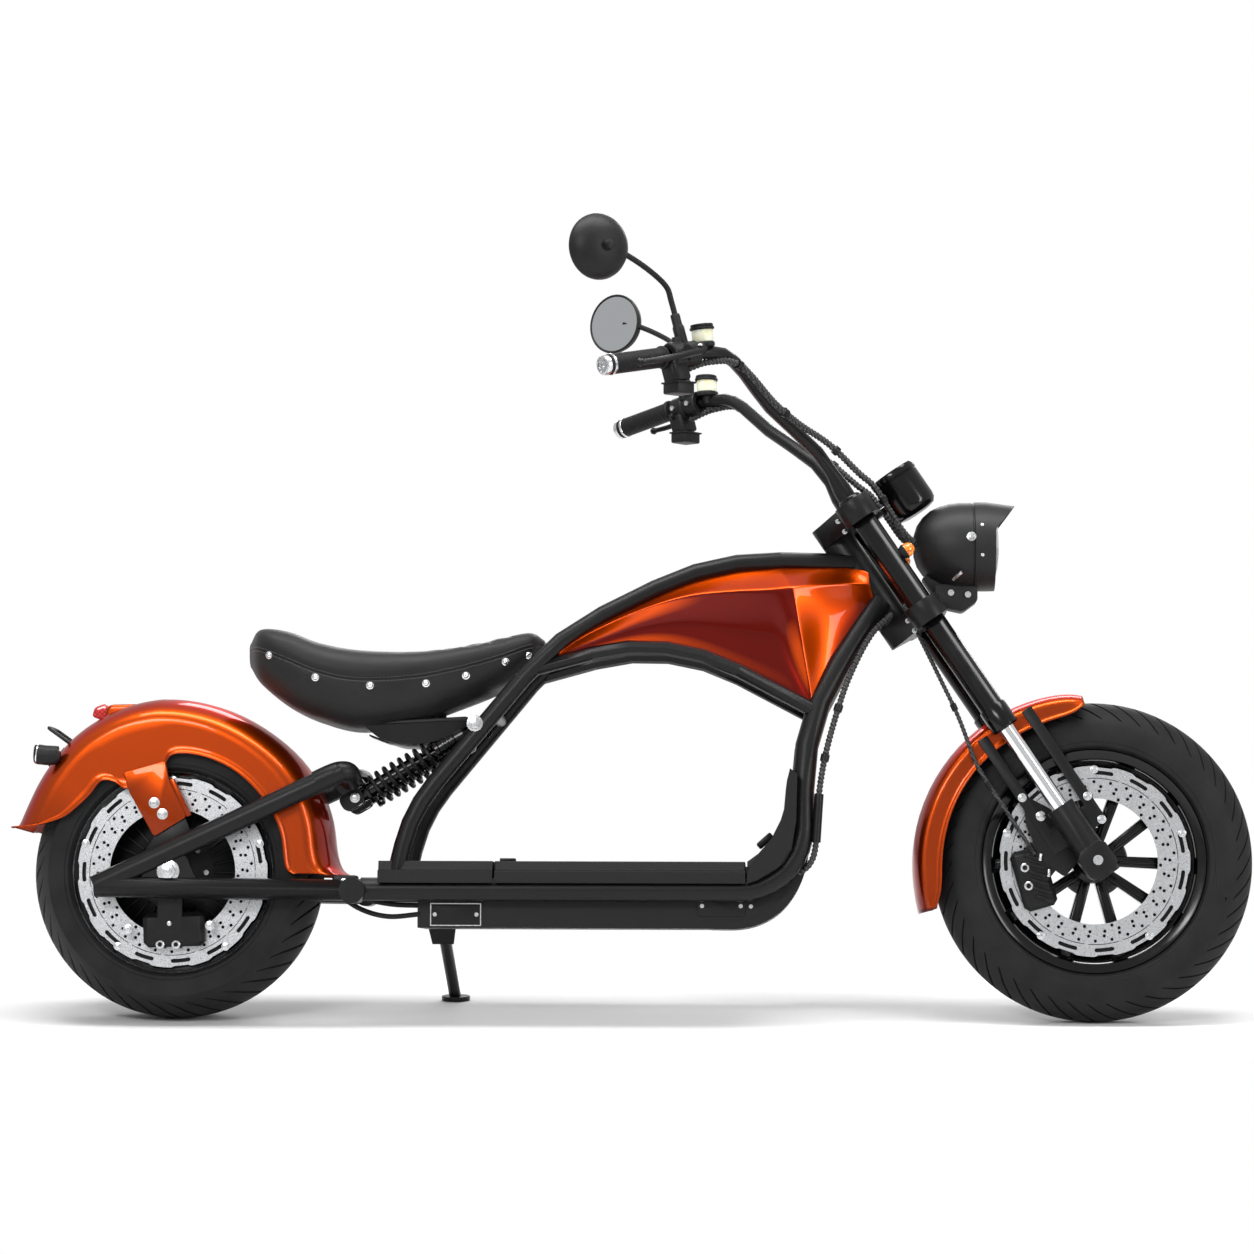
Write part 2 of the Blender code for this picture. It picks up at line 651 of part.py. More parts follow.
def circle(radius, sides, centre=(0.0, 0.0), start=0.0):
    return arc(centre, radius, start, start + math.tau, sides)[:-1]


def arc(centre, radius, start, end, steps):
    return [
        (centre[0] + radius * math.cos(a), centre[1] + radius * math.sin(a))
        for a in (start + (end - start) * index / steps for index in range(steps + 1))
    ]


def square(half, chamfer):
    """A square outline with its corners cut off."""
    inner = half - chamfer
    corner = [(half, inner), (inner, half), (-inner, half), (-half, inner)]
    return corner + [(-x, -y) for x, y in corner]


def boolean(obj, other, operation):
    modifier = obj.modifiers.new(operation.lower(), "BOOLEAN")
    modifier.operation = operation
    modifier.solver = "EXACT"
    modifier.object = other
    return obj


def cut(obj, *others):
    for other in others:
        boolean(obj, other, "DIFFERENCE")
    return obj


def join(obj, *others):
    for other in others:
        boolean(obj, other, "UNION")
    return obj


def piece(obj, name, finish, carrier, sharp=40.0):
    """Makes a helper solid a sub-part of the scooter."""
    cutters.objects.unlink(obj)
    scooter.objects.link(obj)
    obj.hide_render = False
    obj.display_type = "TEXTURED"
    obj.name = name
    hang(obj, carrier)
    obj.data.materials.clear()
    obj.data.materials.append(finish)
    obj.data.shade_smooth()
    obj.data.set_sharp_from_angle(angle=math.radians(sharp))
    return obj


def side_point(point, side):
    return Vector((point[0], point[1] * side, point[2]))


def bar_point(point, side):
    """A point of the handlebar, which is measured from the front axle."""
    return FRONT_AXLE + side_point(point, side)


def side_corners(corners, side):
    return [(x, y * side, z, bend) for x, y, z, bend in corners]


def to_head(corners, along, radius):
    """The corners of a frame tube that ends at the head tube's middle, beside its twin."""
    end = head_point(along)
    return (*corners, (end.x, radius + HEAD_SPACING, end.z, 0.0))


WHEEL_AXES = Matrix.Rotation(-math.pi / 2, 4, "X")  # local Z becomes +Y


def wheel_matrix(axle, y=0.0):
    return Matrix.Translation(axle + ACROSS * y) @ WHEEL_AXES


def make_tyre(name, axle, radius, half_width, tread_radius, tread_steps, bead_radius, flange, rim_half,
              carrier):
    """The tread is an arc with a point where the leaning tyre meets the ground."""
    angles = [LEAN * (2 * index + 1) for index in range(tread_steps)]
    tread = [
        (radius - tread_radius * (1 - math.cos(angle)), tread_radius * math.sin(angle)) for angle in angles
    ]
    bead_half = rim_half - FLANGE_THICKNESS - GAP
    bead = bead_radius + GAP
    middle = (tread[-1][0] + bead) / 2
    wall = [
        (middle + WALL_SHOULDER_RISE, half_width - WALL_SHOULDER_INSET),
        (middle, half_width),
        (flange + WALL_FOOT_RISE, (half_width + bead_half) / 2 + WALL_FOOT_SWELL),
    ]
    half = tread + wall + [(flange + BEAD_CLEARANCE, bead_half), (bead, bead_half)]
    profile = [(r, h) for r, h in reversed(half)] + [(r, -h) for r, h in half]
    tyre = turned(name, profile, wheel_matrix(axle), WHEEL_STEPS)
    return piece(tyre, name, RUBBER, carrier)


def rim_profile(bead_radius, flange_radius, half_width):
    inner = bead_radius - RIM_WALL
    top = [
        (inner, half_width),
        (flange_radius, half_width),
        (flange_radius, half_width - FLANGE_THICKNESS),
        (bead_radius, half_width - FLANGE_THICKNESS),
    ]
    return top + [(r, -h) for r, h in reversed(top)]


def disc_outline(disc_radius):
    """The scalloped rim of the disc: a low lug at each step round it."""
    outline = []
    pitch = math.tau / DISC_LUGS
    for index in range(DISC_LUGS):
        for part, height in ((-0.36, 0.0), (-0.24, DISC_LUG_HEIGHT), (0.24, DISC_LUG_HEIGHT), (0.36, 0.0)):
            angle = pitch * (index + part)
            radius = disc_radius + height
            outline.append((radius * math.cos(angle), radius * math.sin(angle)))
    return outline


def disc_slots(radius):
    """Oblong slots, each between two lugs."""
    slots = []
    for index in range(DISC_LUGS):
        middle = math.tau * (index + 0.5) / DISC_LUGS
        start, end = middle - DISC_SLOT_HALF_ANGLE, middle + DISC_SLOT_HALF_ANGLE
        inner = arc((0, 0), radius - DISC_SLOT_HALF_WIDTH, start, end, 1)
        outer = arc((0, 0), radius + DISC_SLOT_HALF_WIDTH, end, start, 1)
        slots.append(inner + outer)
    return slots


def make_disc(name, axle, y, radius, carrier):
    outlines = [disc_outline(radius), circle(radius - DISC_RING_WIDTH, 30)]
    outlines += disc_slots(radius - DISC_SLOT_INSET)
    disc = plate(name, outlines, DISC_THICKNESS, side_view(y))
    disc.matrix_basis = Matrix.Translation((axle.x, 0.0, axle.z)) @ disc.matrix_basis
    return piece(disc, name, STEEL, carrier)


def make_front_wheel():
    make_tyre("front_tyre", FRONT_AXLE, FRONT_TYRE_RADIUS, FRONT_TYRE_HALF_WIDTH, FRONT_TREAD_RADIUS,
              FRONT_TREAD_STEPS, FRONT_BEAD_RADIUS, FRONT_FLANGE_RADIUS, FRONT_RIM_HALF_WIDTH, front_wheel)
    rim = turned("rim", rim_profile(FRONT_BEAD_RADIUS, FRONT_FLANGE_RADIUS, FRONT_RIM_HALF_WIDTH),
                 wheel_matrix(FRONT_AXLE), WHEEL_STEPS)
    rim_inside = FRONT_BEAD_RADIUS - RIM_WALL / 2
    star = []
    pitch = math.tau / SPOKE_PAIRS
    leg = (
        (SPOKE_ROOT_SHARE, SPOKE_ROOT_RADIUS),
        (SPOKE_RIM_SHARES[0], rim_inside),
        (SPOKE_RIM_SHARES[1], rim_inside),
        (SPOKE_HUB_SHARE, FRONT_HUB_RADIUS + GAP),
    )
    for index in range(SPOKE_PAIRS):
        middle = math.pi / 2 + pitch * index
        shares = [(-share, radius) for share, radius in reversed(leg)] + list(leg)
        for share, radius in shares:
            angle = middle + share * pitch
            star.append((radius * math.cos(angle), radius * math.sin(angle)))
    spokes = plate("spokes", [star], 2 * SPOKE_HALF_THICKNESS, side_view(0.0))
    spokes.matrix_basis = Matrix.Translation((FRONT_AXLE.x, 0.0, FRONT_AXLE.z)) @ spokes.matrix_basis
    hub = rod("hub", FRONT_AXLE - ACROSS * FRONT_HUB_HALF_WIDTH, FRONT_AXLE + ACROSS * FRONT_HUB_HALF_WIDTH,
              FRONT_HUB_RADIUS, 24)
    through = ACROSS * LEG_Y
    bore = rod("bore", FRONT_AXLE - through, FRONT_AXLE + through, AXLE_RADIUS + AXLE_CLEARANCE)
    join(rim, spokes, hub)
    boss_end = FRONT_DISC_Y + DISC_THICKNESS / 2 + GAP
    for index in range(SPOKE_PAIRS):
        for share in (-DISC_BOSS_SHARE, DISC_BOSS_SHARE):
            angle = math.pi / 2 + pitch * (index + share)
            outward = Vector((math.cos(angle), 0.0, math.sin(angle)))
            place = FRONT_AXLE + outward * (FRONT_DISC_RADIUS - DISC_BOSS_INSET)
            join(rim, rod("boss", place, place + ACROSS * boss_end, DISC_BOSS_RADIUS, 8))
    cut(rim, bore)
    piece(rim, "front_rim", ALLOY, front_wheel)
    make_disc("front_disc", FRONT_AXLE, FRONT_DISC_Y, FRONT_DISC_RADIUS, front_wheel)
    reach = LEG_Y - LEG_RADIUS - GAP
    axle = rod("axle", FRONT_AXLE - ACROSS * reach, FRONT_AXLE + ACROSS * reach, AXLE_RADIUS)
    piece(axle, "front_axle", STEEL, steering)


def make_rear_wheel():
    make_tyre("rear_tyre", REAR_AXLE, REAR_TYRE_RADIUS, REAR_TYRE_HALF_WIDTH, REAR_TREAD_RADIUS,
              REAR_TREAD_STEPS, REAR_BEAD_RADIUS, REAR_FLANGE_RADIUS, REAR_RIM_HALF_WIDTH, rear_wheel)
    rim = turned("rim", rim_profile(REAR_BEAD_RADIUS, REAR_FLANGE_RADIUS, REAR_RIM_HALF_WIDTH),
                 wheel_matrix(REAR_AXLE), WHEEL_STEPS)
    piece(rim, "rear_rim", ALLOY, rear_wheel)
    outer = REAR_BEAD_RADIUS - RIM_WALL - GAP
    bore = AXLE_RADIUS + AXLE_CLEARANCE
    half = [
        (bore, MOTOR_BOSS_REACH),
        (MOTOR_BOSS_RADIUS, MOTOR_BOSS_REACH),
        (MOTOR_BOSS_RADIUS, MOTOR_HALF_WIDTH + MOTOR_BOSS_RISE),
        (MOTOR_COVER_RADIUS, MOTOR_HALF_WIDTH + MOTOR_COVER_RISE),
        (outer - MOTOR_EDGE_INSET, MOTOR_HALF_WIDTH),
        (outer, MOTOR_HALF_WIDTH - MOTOR_EDGE_DROP),
    ]
    profile = half + [(r, -h) for r, h in reversed(half)]
    motor = turned("motor", profile, wheel_matrix(REAR_AXLE), WHEEL_STEPS)
    piece(motor, "hub_motor", ALLOY, rear_wheel)
    make_disc("rear_disc", REAR_AXLE, REAR_DISC_Y, REAR_DISC_RADIUS, rear_wheel)
    reach = SWINGARM_Y - DROPOUT_THICKNESS / 2 - GAP
    axle = rod("axle", REAR_AXLE - ACROSS * reach, REAR_AXLE + ACROSS * reach, AXLE_RADIUS)
    piece(axle, "rear_axle", STEEL, root)


make_front_wheel()
make_rear_wheel()


def make_caliper(centre, disc_y, disc_radius, axle, reach, angle, bracket):
    """A caliper that grips the disc's inner edge from inside the ring."""
    inner_reach, outer_reach = reach
    matrix = Matrix.Translation(centre) @ Matrix.Rotation(angle, 4, "Y")
    middle = disc_y + (inner_reach - outer_reach) / 2
    size = (CALIPER_DEPTH, inner_reach + outer_reach, CALIPER_LENGTH)
    body = box("caliper", (0.0, middle, 0.0), size, matrix)
    edges = body.modifiers.new("edges", "BEVEL")
    edges.width = CALIPER_BEVEL
    edges.segments = 1
    slot_half = DISC_THICKNESS / 2 + CALIPER_CLEARANCE
    inner = disc_radius - DISC_RING_WIDTH - CALIPER_CLEARANCE
    outer = disc_radius + CALIPER_DEPTH
    ring = [(inner, slot_half), (outer, slot_half), (outer, -slot_half), (inner, -slot_half)]
    return cut(join(body, bracket), turned("slot", ring, wheel_matrix(axle, disc_y), WHEEL_STEPS))


def make_calipers():
    centre = FRONT_AXLE + Vector((FRONT_CALIPER_X, 0.0, FRONT_CALIPER_Z))
    arm_y = -(FRONT_FENDER_HALF_WIDTH - CALIPER_ARM_THICKNESS / 2)
    leg = fork_point(CALIPER_ARM_ALONG)
    outline = [(centre.x + CALIPER_ARM_LOW[0], centre.z + CALIPER_ARM_LOW[1])]
    outline += [(leg.x + x, leg.z + z) for x, z in CALIPER_ARM_ON_LEG]
    outline += [(centre.x + CALIPER_ARM_HIGH[0], centre.z + CALIPER_ARM_HIGH[1])]
    arm = plate("arm", [outline], CALIPER_ARM_THICKNESS, side_view(arm_y))
    caliper = make_caliper(centre, FRONT_DISC_Y, FRONT_DISC_RADIUS, FRONT_AXLE, FRONT_CALIPER_REACH,
                           FRONT_CALIPER_TURN, arm)
    piece(caliper, "front_caliper", ALLOY, steering)
    centre = REAR_AXLE + Vector((REAR_CALIPER_X, 0.0, REAR_CALIPER_Z))
    hanger_y = -(SWINGARM_Y - SWINGARM_RADIUS - GAP - CALIPER_ARM_THICKNESS / 2)
    low, high = centre.z - HANGER_PAST, REAR_AXLE.z + HANGER_TOP
    hanger = box("hanger", (REAR_AXLE.x, hanger_y, (low + high) / 2),
                 (HANGER_WIDTH, CALIPER_ARM_THICKNESS, high - low))
    caliper = make_caliper(centre, REAR_DISC_Y, REAR_DISC_RADIUS, REAR_AXLE, REAR_CALIPER_REACH,
                           REAR_CALIPER_TURN, hanger)
    axle = rod("axle", REAR_AXLE - ACROSS * SWINGARM_Y, REAR_AXLE, AXLE_RADIUS + GAP)
    piece(cut(caliper, axle), "rear_caliper", ALLOY, root)


make_calipers()




def stand_axis():
    """The stand's bolt, square to its leg and level across the scooter."""
    return foot_direction().cross(Vector((-1.0, 0.0, 0.0))).normalized()


def stand_foot():
    """The middle of the foot's underside, on the ground under the leaning scooter."""
    return Vector((STAND_FOOT_X, STAND_FOOT_Y, STAND_FOOT_Y * math.tan(LEAN)))


def foot_direction():
    return (stand_foot() - STAND_PIVOT).normalized()


def make_frame():
    bottom = head_point(LOWER_CLAMP + CLAMP_HALF_HEIGHT + STEER_CLEARANCE)
    top = head_point(UPPER_CLAMP - CLAMP_HALF_HEIGHT - STEER_CLEARANCE)
    head = rod("head", bottom, top, HEAD_TUBE_RADIUS, 24)
    piece(head, "head_tube", BLACK, root)
    head_cut = rod("head_cut", head_point(LOWER_CLAMP), head_point(UPPER_CLAMP), HEAD_TUBE_RADIUS + GAP, 24)
    cutters_of = {}
    for name, side in SIDES:
        cradle_path = bent_path(side_corners(to_head(CRADLE, CRADLE_HEAD, CRADLE_RADIUS), side))
        main_path = bent_path(side_corners(to_head(MAIN, MAIN_HEAD, MAIN_RADIUS), side))
        arch_path = bent_path(side_corners(ARCH, side))
        cradle_cut = tube("cradle_cut", cradle_path, CRADLE_RADIUS + GAP, 12)
        main_cut = tube("main_cut", main_path, MAIN_RADIUS + GAP, 10)
        arch_cut = tube("arch_cut", arch_path, ARCH_RADIUS + GAP, 8)
        cradle = cut(tube("cradle", cradle_path, CRADLE_RADIUS, 12), head_cut)
        if side > 0:
            join(cradle, stand_lug())
        piece(cradle, "frame_cradle_" + name, BLACK, root)
        main = cut(tube("main", main_path, MAIN_RADIUS, 10), head_cut, cradle_cut)
        piece(main, "frame_main_" + name, BLACK, root)
        arch = cut(tube("arch", arch_path, ARCH_RADIUS, 8), cradle_cut, main_cut)
        piece(arch, "frame_arch_" + name, BLACK, root)
        cutters_of[name] = (cradle_cut, main_cut, arch_cut, head_cut)
    return cutters_of


def stand_lug():
    """A web under the left rail, with a tilted plate that the stand's eye turns beside."""
    axis = stand_axis()
    down = axis.cross(Vector((1.0, 0.0, 0.0)))
    place = STAND_PIVOT - axis * (STAND_EYE_HALF + GAP + STAND_LUG_THICKNESS / 2)
    lug = plate("stand_lug", [STAND_LUG], STAND_LUG_THICKNESS, axes(place, (1.0, 0.0, 0.0), axis))
    inner_y = BOX_HALF_WIDTH + STAND_WEB_CLEARANCE
    bottom_z = place.z - down.z * STAND_LUG_TOP
    web = box("stand_web", (place.x, inner_y + STAND_LUG_THICKNESS / 2, (bottom_z + CRADLE_Z) / 2),
              (STAND_WEB_LENGTH, STAND_LUG_THICKNESS, CRADLE_Z - bottom_z))
    return join(web, lug)


frame_cutters = make_frame()




def point_at(path, x):
    """The point of a path at the given X."""
    for first, second in zip(path, path[1:]):
        if first.x <= x <= second.x and second.x > first.x:
            return first.lerp(second, (x - first.x) / (second.x - first.x))
    return path[-1].copy()


def make_covers():
    """The faceted side covers fill the loop between the main, arch and down tubes."""
    for name, side in SIDES:
        main, arch = bent_path(to_head(MAIN, MAIN_HEAD, MAIN_RADIUS)), bent_path(ARCH)
        cradle = bent_path(to_head(CRADLE, CRADLE_HEAD, CRADLE_RADIUS))
        down_tube = [point for point in cradle if point.z >= arch[-1].z]
        rings = []
        for x, share, bulge in COVER:
            top = point_at(main, x) - Vector((0.0, 0.0, COVER_INSET))
            low = point_at(arch if x < arch[-1].x else down_tube, x) + Vector((0.0, 0.0, COVER_INSET))
            ridge = low.lerp(top, share) + ACROSS * bulge
            outer = [point + ACROSS * COVER_OUTSIDE for point in (top, ridge, low)]
            inner = [point + ACROSS * COVER_INSIDE for point in (low, ridge, top)]
            rings.append([side_point(point, side) for point in outer + inner])
        cover = loft("cover", rings)
        piece(cut(cover, *reversed(frame_cutters[name])), "tank_cover_" + name, ORANGE, root, 12.0)


make_covers()


def make_stand():
    stand = pivot("side_stand_axis", STAND_PIVOT, (1.0, 0.0, 0.0), stand_axis(), root)
    axis, foot = stand_axis(), stand_foot()
    leg = rod("leg", STAND_PIVOT, foot, STAND_RADIUS, 12)
    half = axis * STAND_EYE_HALF
    eye = rod("eye", STAND_PIVOT - half, STAND_PIVOT + half, STAND_EYE_RADIUS)
    ground_up = Vector((0.0, -math.sin(LEAN), math.cos(LEAN)))
    pad = rod("pad", foot, foot + ground_up * STAND_PAD_THICKNESS, STAND_PAD_RADIUS, 20)
    ground = below("ground", axes(foot, (1.0, 0.0, 0.0), ground_up))
    piece(cut(join(eye, leg, pad), ground), "side_stand", BLACK, stand)


make_stand()


def fender_point(angle, out=0.0):
    """A point beside the rear fender's middle line, seen from the side."""
    radius = REAR_FENDER_RADIUS + out
    return Vector((
        REAR_AXLE.x + REAR_FENDER_SHIFT[0] + radius * math.cos(angle), 0.0,
        REAR_AXLE.z + REAR_FENDER_SHIFT[1] + radius * math.sin(angle),
    ))


BRIDGE = fender_point(BRIDGE_ANGLE, GAP + BRIDGE_RADIUS)


def make_swingarm():
    shock_cut = []
    for name, side in SIDES:
        y = SWINGARM_Y * side
        apex = Vector((SWINGARM_APEX_X, y, SWINGARM_LOWER_Z + SWINGARM_RISE))
        front = Vector((SWINGARM_PIVOT_X, y, SWINGARM_LOWER_Z))
        top = Vector((BRIDGE.x, y, BRIDGE.z))
        top += (top - apex).normalized() * SWINGARM_RADIUS
        lower = rod("lower", front, apex, SWINGARM_RADIUS, 12)
        upper = rod("upper", apex, top, SWINGARM_RADIUS, 12)
        boss_in = (CRADLE_Y - CRADLE_RADIUS) * side
        boss = rod("boss", (front.x, boss_in, front.z), (front.x, y + SWINGARM_RADIUS * side, front.z),
                   PIVOT_BOSS_RADIUS, 20)
        half = [(DROPOUT_HALF_LENGTH, SWINGARM_LOWER_Z)]
        half += [(reach, REAR_AXLE.z + height) for reach, height in DROPOUT_SHOULDERS]
        outline = [(REAR_AXLE.x + reach, z) for reach, z in half]
        outline += [(REAR_AXLE.x - reach, z) for reach, z in reversed(half)]
        dropout = plate("dropout", [outline], DROPOUT_THICKNESS, side_view(y))
        arm = join(lower, upper, boss, dropout)
        piece(arm, "swingarm_" + name, BLACK, root)
        boss_cut = rod("boss_cut", (front.x, -SWINGARM_Y, front.z), (front.x, SWINGARM_Y, front.z),
                       PIVOT_BOSS_RADIUS + GAP, 20)
        cut(bpy.data.objects["frame_cradle_" + name], boss_cut)
        shock_cut.append(rod("upper_cut", apex, top, SWINGARM_RADIUS + GAP, 12))
    end = ACROSS * SWINGARM_Y
    bridge = rod("bridge", BRIDGE - end, BRIDGE + end, BRIDGE_RADIUS)
    for side in (-1.0, 1.0):
        for offset in (-1.0, 1.0):
            y = side * SHOCK_Y + offset * (SHOCK_EYE_HALF + GAP + SHOCK_LUG_THICKNESS / 2)
            normal = (BRIDGE - SHOCK_LOWER).cross(ACROSS).normalized() * SHOCK_EYE_RADIUS
            corners = [BRIDGE + normal, BRIDGE - normal, SHOCK_LOWER - normal, SHOCK_LOWER + normal]
            join(bridge, plate("lug", [[(c.x, c.z) for c in corners]], SHOCK_LUG_THICKNESS, side_view(y)))
        pin_reach = ACROSS * side * (SHOCK_EYE_HALF + 2 * SHOCK_LUG_THICKNESS)
        middle = SHOCK_LOWER + ACROSS * SHOCK_Y * side
        cut(bridge, rod("pin_cut", middle - pin_reach, middle + pin_reach, SHOCK_PIN_RADIUS + GAP, 12))
    piece(cut(bridge, *shock_cut), "swingarm_bridge", BLACK, root)


make_swingarm()


def make_shocks():
    for name, side in SIDES:
        lower = SHOCK_LOWER + ACROSS * SHOCK_Y * side
        upper = SHOCK_UPPER + ACROSS * SHOCK_Y * side
        line = along_line(lower, upper)
        length = (upper - lower).length
        spring_low = SHOCK_EYE_RADIUS + SPRING_SEAT_UP
        spring_high = length * SPRING_TOP_SHARE
        seat_radius = SPRING_RADIUS + SPRING_WIRE
        half = ACROSS * SHOCK_EYE_HALF
        eye = rod("eye", lower - half, lower + half, SHOCK_EYE_RADIUS)
        pin = ACROSS * (SHOCK_EYE_HALF + GAP + SHOCK_LUG_THICKNESS)
        core = [
            (0.0, length - SHOCK_EYE_RADIUS / 2),
            (DAMPER_SLEEVE_RADIUS, length - SHOCK_EYE_RADIUS / 2),
            (DAMPER_RADIUS, length - SHOCK_EYE_RADIUS - DAMPER_SHOULDER),
            (DAMPER_RADIUS, spring_high + SPRING_CAP),
            (seat_radius, spring_high + SPRING_CAP),
            (seat_radius, spring_high),
            (DAMPER_SLEEVE_RADIUS, spring_high),
            (DAMPER_SLEEVE_RADIUS, spring_low),
            (seat_radius, spring_low),
            (seat_radius, spring_low - SPRING_SEAT_THICKNESS),
            (DAMPER_SLEEVE_RADIUS, spring_low - 2 * SPRING_SEAT_THICKNESS),
            (DAMPER_SLEEVE_RADIUS, SHOCK_EYE_RADIUS / 2),
            (0.0, SHOCK_EYE_RADIUS / 2),
        ]
        body = turned("body", core, line, 12)
        coil = []
        sunk = SPRING_WIRE / 2
        for index in range(SPRING_TURNS * COIL_STEPS + 1):
            angle = math.tau * index / COIL_STEPS
            share = index / (SPRING_TURNS * COIL_STEPS)
            height = (spring_low - sunk) * (1.0 - share) + (spring_high + sunk) * share
            across, rise = SPRING_RADIUS * math.cos(angle), SPRING_RADIUS * math.sin(angle)
            coil.append(line @ Vector((across, rise, height)))
        spring = tube("spring", coil, SPRING_WIRE, 6)
        top_eye = rod("top_eye", upper - half, upper + half, SHOCK_EYE_RADIUS)
        to_frame = ACROSS * side * (CRADLE_Y - SHOCK_Y)
        frame_pin = rod("frame_pin", upper, upper + to_frame, SHOCK_FRAME_PIN_RADIUS)
        lower_pin = rod("pin", lower - pin, lower + pin, SHOCK_PIN_RADIUS, 12)
        shock = join(body, spring, eye, lower_pin, top_eye, frame_pin)
        piece(cut(shock, frame_cutters[name][1]), "shock_" + name, STEEL, root)


make_shocks()


def fender_section(radius, half_width, skirt, crown, corner):
    """Half of a fender's outer section as (radius, y), from the middle to the skirt's edge."""
    return [
        (radius, 0.0),
        (radius - crown * 0.35, half_width * 0.45),
        (radius - crown, half_width - corner),
        (radius - crown - corner * 0.35, half_width - corner * 0.3),
        (radius - crown - corner * 1.1, half_width),
        (radius - skirt, half_width),
    ]


def skirt_at(skirt, degrees):
    """The skirt's depth at an angle round the wheel."""
    for (start, first), (end, second) in zip(skirt, skirt[1:]):
        if degrees <= end:
            return first + (second - first) * (degrees - start) / (end - start)
    return skirt[-1][1]


def make_fender(name, axle, shift, radius, half_width, skirt, crown, corner, steps):
    """An arched section swept round the wheel, with its sheet inward."""
    rings = []
    start, end = skirt[0][0], skirt[-1][0]
    for index in range(steps + 1):
        degrees = start + (end - start) * index / steps
        depth = skirt_at(skirt, degrees)
        corner_here = min(corner, (depth - crown) / FENDER_CORNER_SHARE)
        outer = fender_section(radius, half_width, depth, crown, corner_here)
        inner = fender_section(radius - FENDER_SHEET, half_width - FENDER_SHEET, depth - FENDER_SHEET, crown,
                               corner_here)
        profile = outer[:0:-1] + [(r, -y) for r, y in outer]
        profile += [(r, -y) for r, y in inner[:0:-1]] + inner
        angle = math.radians(degrees)
        rings.append([
            Vector((axle.x + shift[0] + r * math.cos(angle), y, axle.z + shift[1] + r * math.sin(angle)))
            for r, y in profile
        ])
    return loft(name, rings)


def make_fenders():
    front = make_fender("fender", FRONT_AXLE, FRONT_FENDER_SHIFT, FRONT_FENDER_RADIUS,
                        FRONT_FENDER_HALF_WIDTH, FRONT_SKIRT, FRONT_FENDER_CROWN, FRONT_FENDER_CORNER,
                        FRONT_FENDER_STEPS)
    piece(front, "front_fender", ORANGE, steering)
    rear = make_fender("fender", REAR_AXLE, REAR_FENDER_SHIFT, REAR_FENDER_RADIUS, REAR_FENDER_HALF_WIDTH,
                       REAR_SKIRT, REAR_FENDER_CROWN, REAR_FENDER_CORNER, REAR_FENDER_STEPS)
    tab = on_fender(FENDER_TAB)
    for side in (-1.0, 1.0):
        middle = side * (REAR_FENDER_HALF_WIDTH - FENDER_SHEET / 2)
        join(rear, plate("tab", [tab], FENDER_SHEET - GAP / 2, side_view(middle)))
    piece(rear, "rear_fender", ORANGE, root)


make_fenders()


def make_fork():
    for name, side in SIDES:
        y = LEG_Y * side
        stay_y = (FRONT_FENDER_HALF_WIDTH + GAP + STAY_THICKNESS / 2) * side
        leg = rod("leg", fork_point(LEG_BOTTOM, 0.0, y), fork_point(LEG_TOP, 0.0, y), LEG_RADIUS, 20)
        stay = plate("stay", [STAY_OUTLINE], STAY_THICKNESS,
                     axes(FRONT_AXLE + ACROSS * stay_y, FORK_FORWARD, -ACROSS))
        foot = plate("foot", [square(AXLE_CLAMP_HALF, AXLE_CLAMP_CHAMFER)], 2 * LEG_RADIUS,
                     axes(FRONT_AXLE + ACROSS * y, FORK_FORWARD, -ACROSS))
        piece(join(leg, stay, foot), "fork_leg_" + name, BLACK, steering)
        stanchion = rod("stanchion", fork_point(LEG_TOP + GAP, 0.0, y),
                        fork_point(COLLAR_BOTTOM - GAP, 0.0, y), STANCHION_RADIUS, 20)
        piece(stanchion, "fork_stanchion_" + name, CHROME, steering)
        top = FORK_TUBE_TOP - COLLAR_BOTTOM
        outer = turned("outer", [
            (0.0, top),
            (FORK_TUBE_RADIUS - FORK_EDGE, top),
            (FORK_TUBE_RADIUS, top - FORK_EDGE),
            (FORK_TUBE_RADIUS, COLLAR_TOP - COLLAR_BOTTOM),
            (COLLAR_RADIUS, COLLAR_TOP - COLLAR_BOTTOM - FORK_EDGE),
            (COLLAR_RADIUS, FORK_EDGE),
            (COLLAR_RADIUS - FORK_EDGE, 0.0),
            (0.0, 0.0),
        ], axes(fork_point(COLLAR_BOTTOM, 0.0, y), FORK_FORWARD, FORK_UP), 20)
        piece(outer, "fork_tube_" + name, BLACK, steering)
    tubes = [rod("tube_cut", fork_point(COLLAR_TOP, 0.0, LEG_Y * side),
                 fork_point(FORK_TUBE_TOP + CLAMP_HALF_HEIGHT, 0.0, LEG_Y * side),
                 FORK_TUBE_RADIUS + GAP, 20) for side in (-1.0, 1.0)]
    for name, along in (("lower_clamp", LOWER_CLAMP), ("upper_clamp", UPPER_CLAMP)):
        right = arc((FORK_OFFSET, -LEG_Y), CLAMP_COLLAR_RADIUS, -math.pi - CLAMP_WAIST_ANGLE, 0.0, 8)
        left = arc((FORK_OFFSET, LEG_Y), CLAMP_COLLAR_RADIUS, 0.0, math.pi + CLAMP_WAIST_ANGLE, 8)
        back = arc((0.0, 0.0), STEM_BOSS_RADIUS, math.pi - CLAMP_BACK_ANGLE, math.pi + CLAMP_BACK_ANGLE, 6)
        clamp = plate(name, [right + left + back], 2 * CLAMP_HALF_HEIGHT,
                      axes(head_point(along), FORK_FORWARD, FORK_UP))
        piece(cut(clamp, *tubes), name, BLACK, steering)


make_fork()


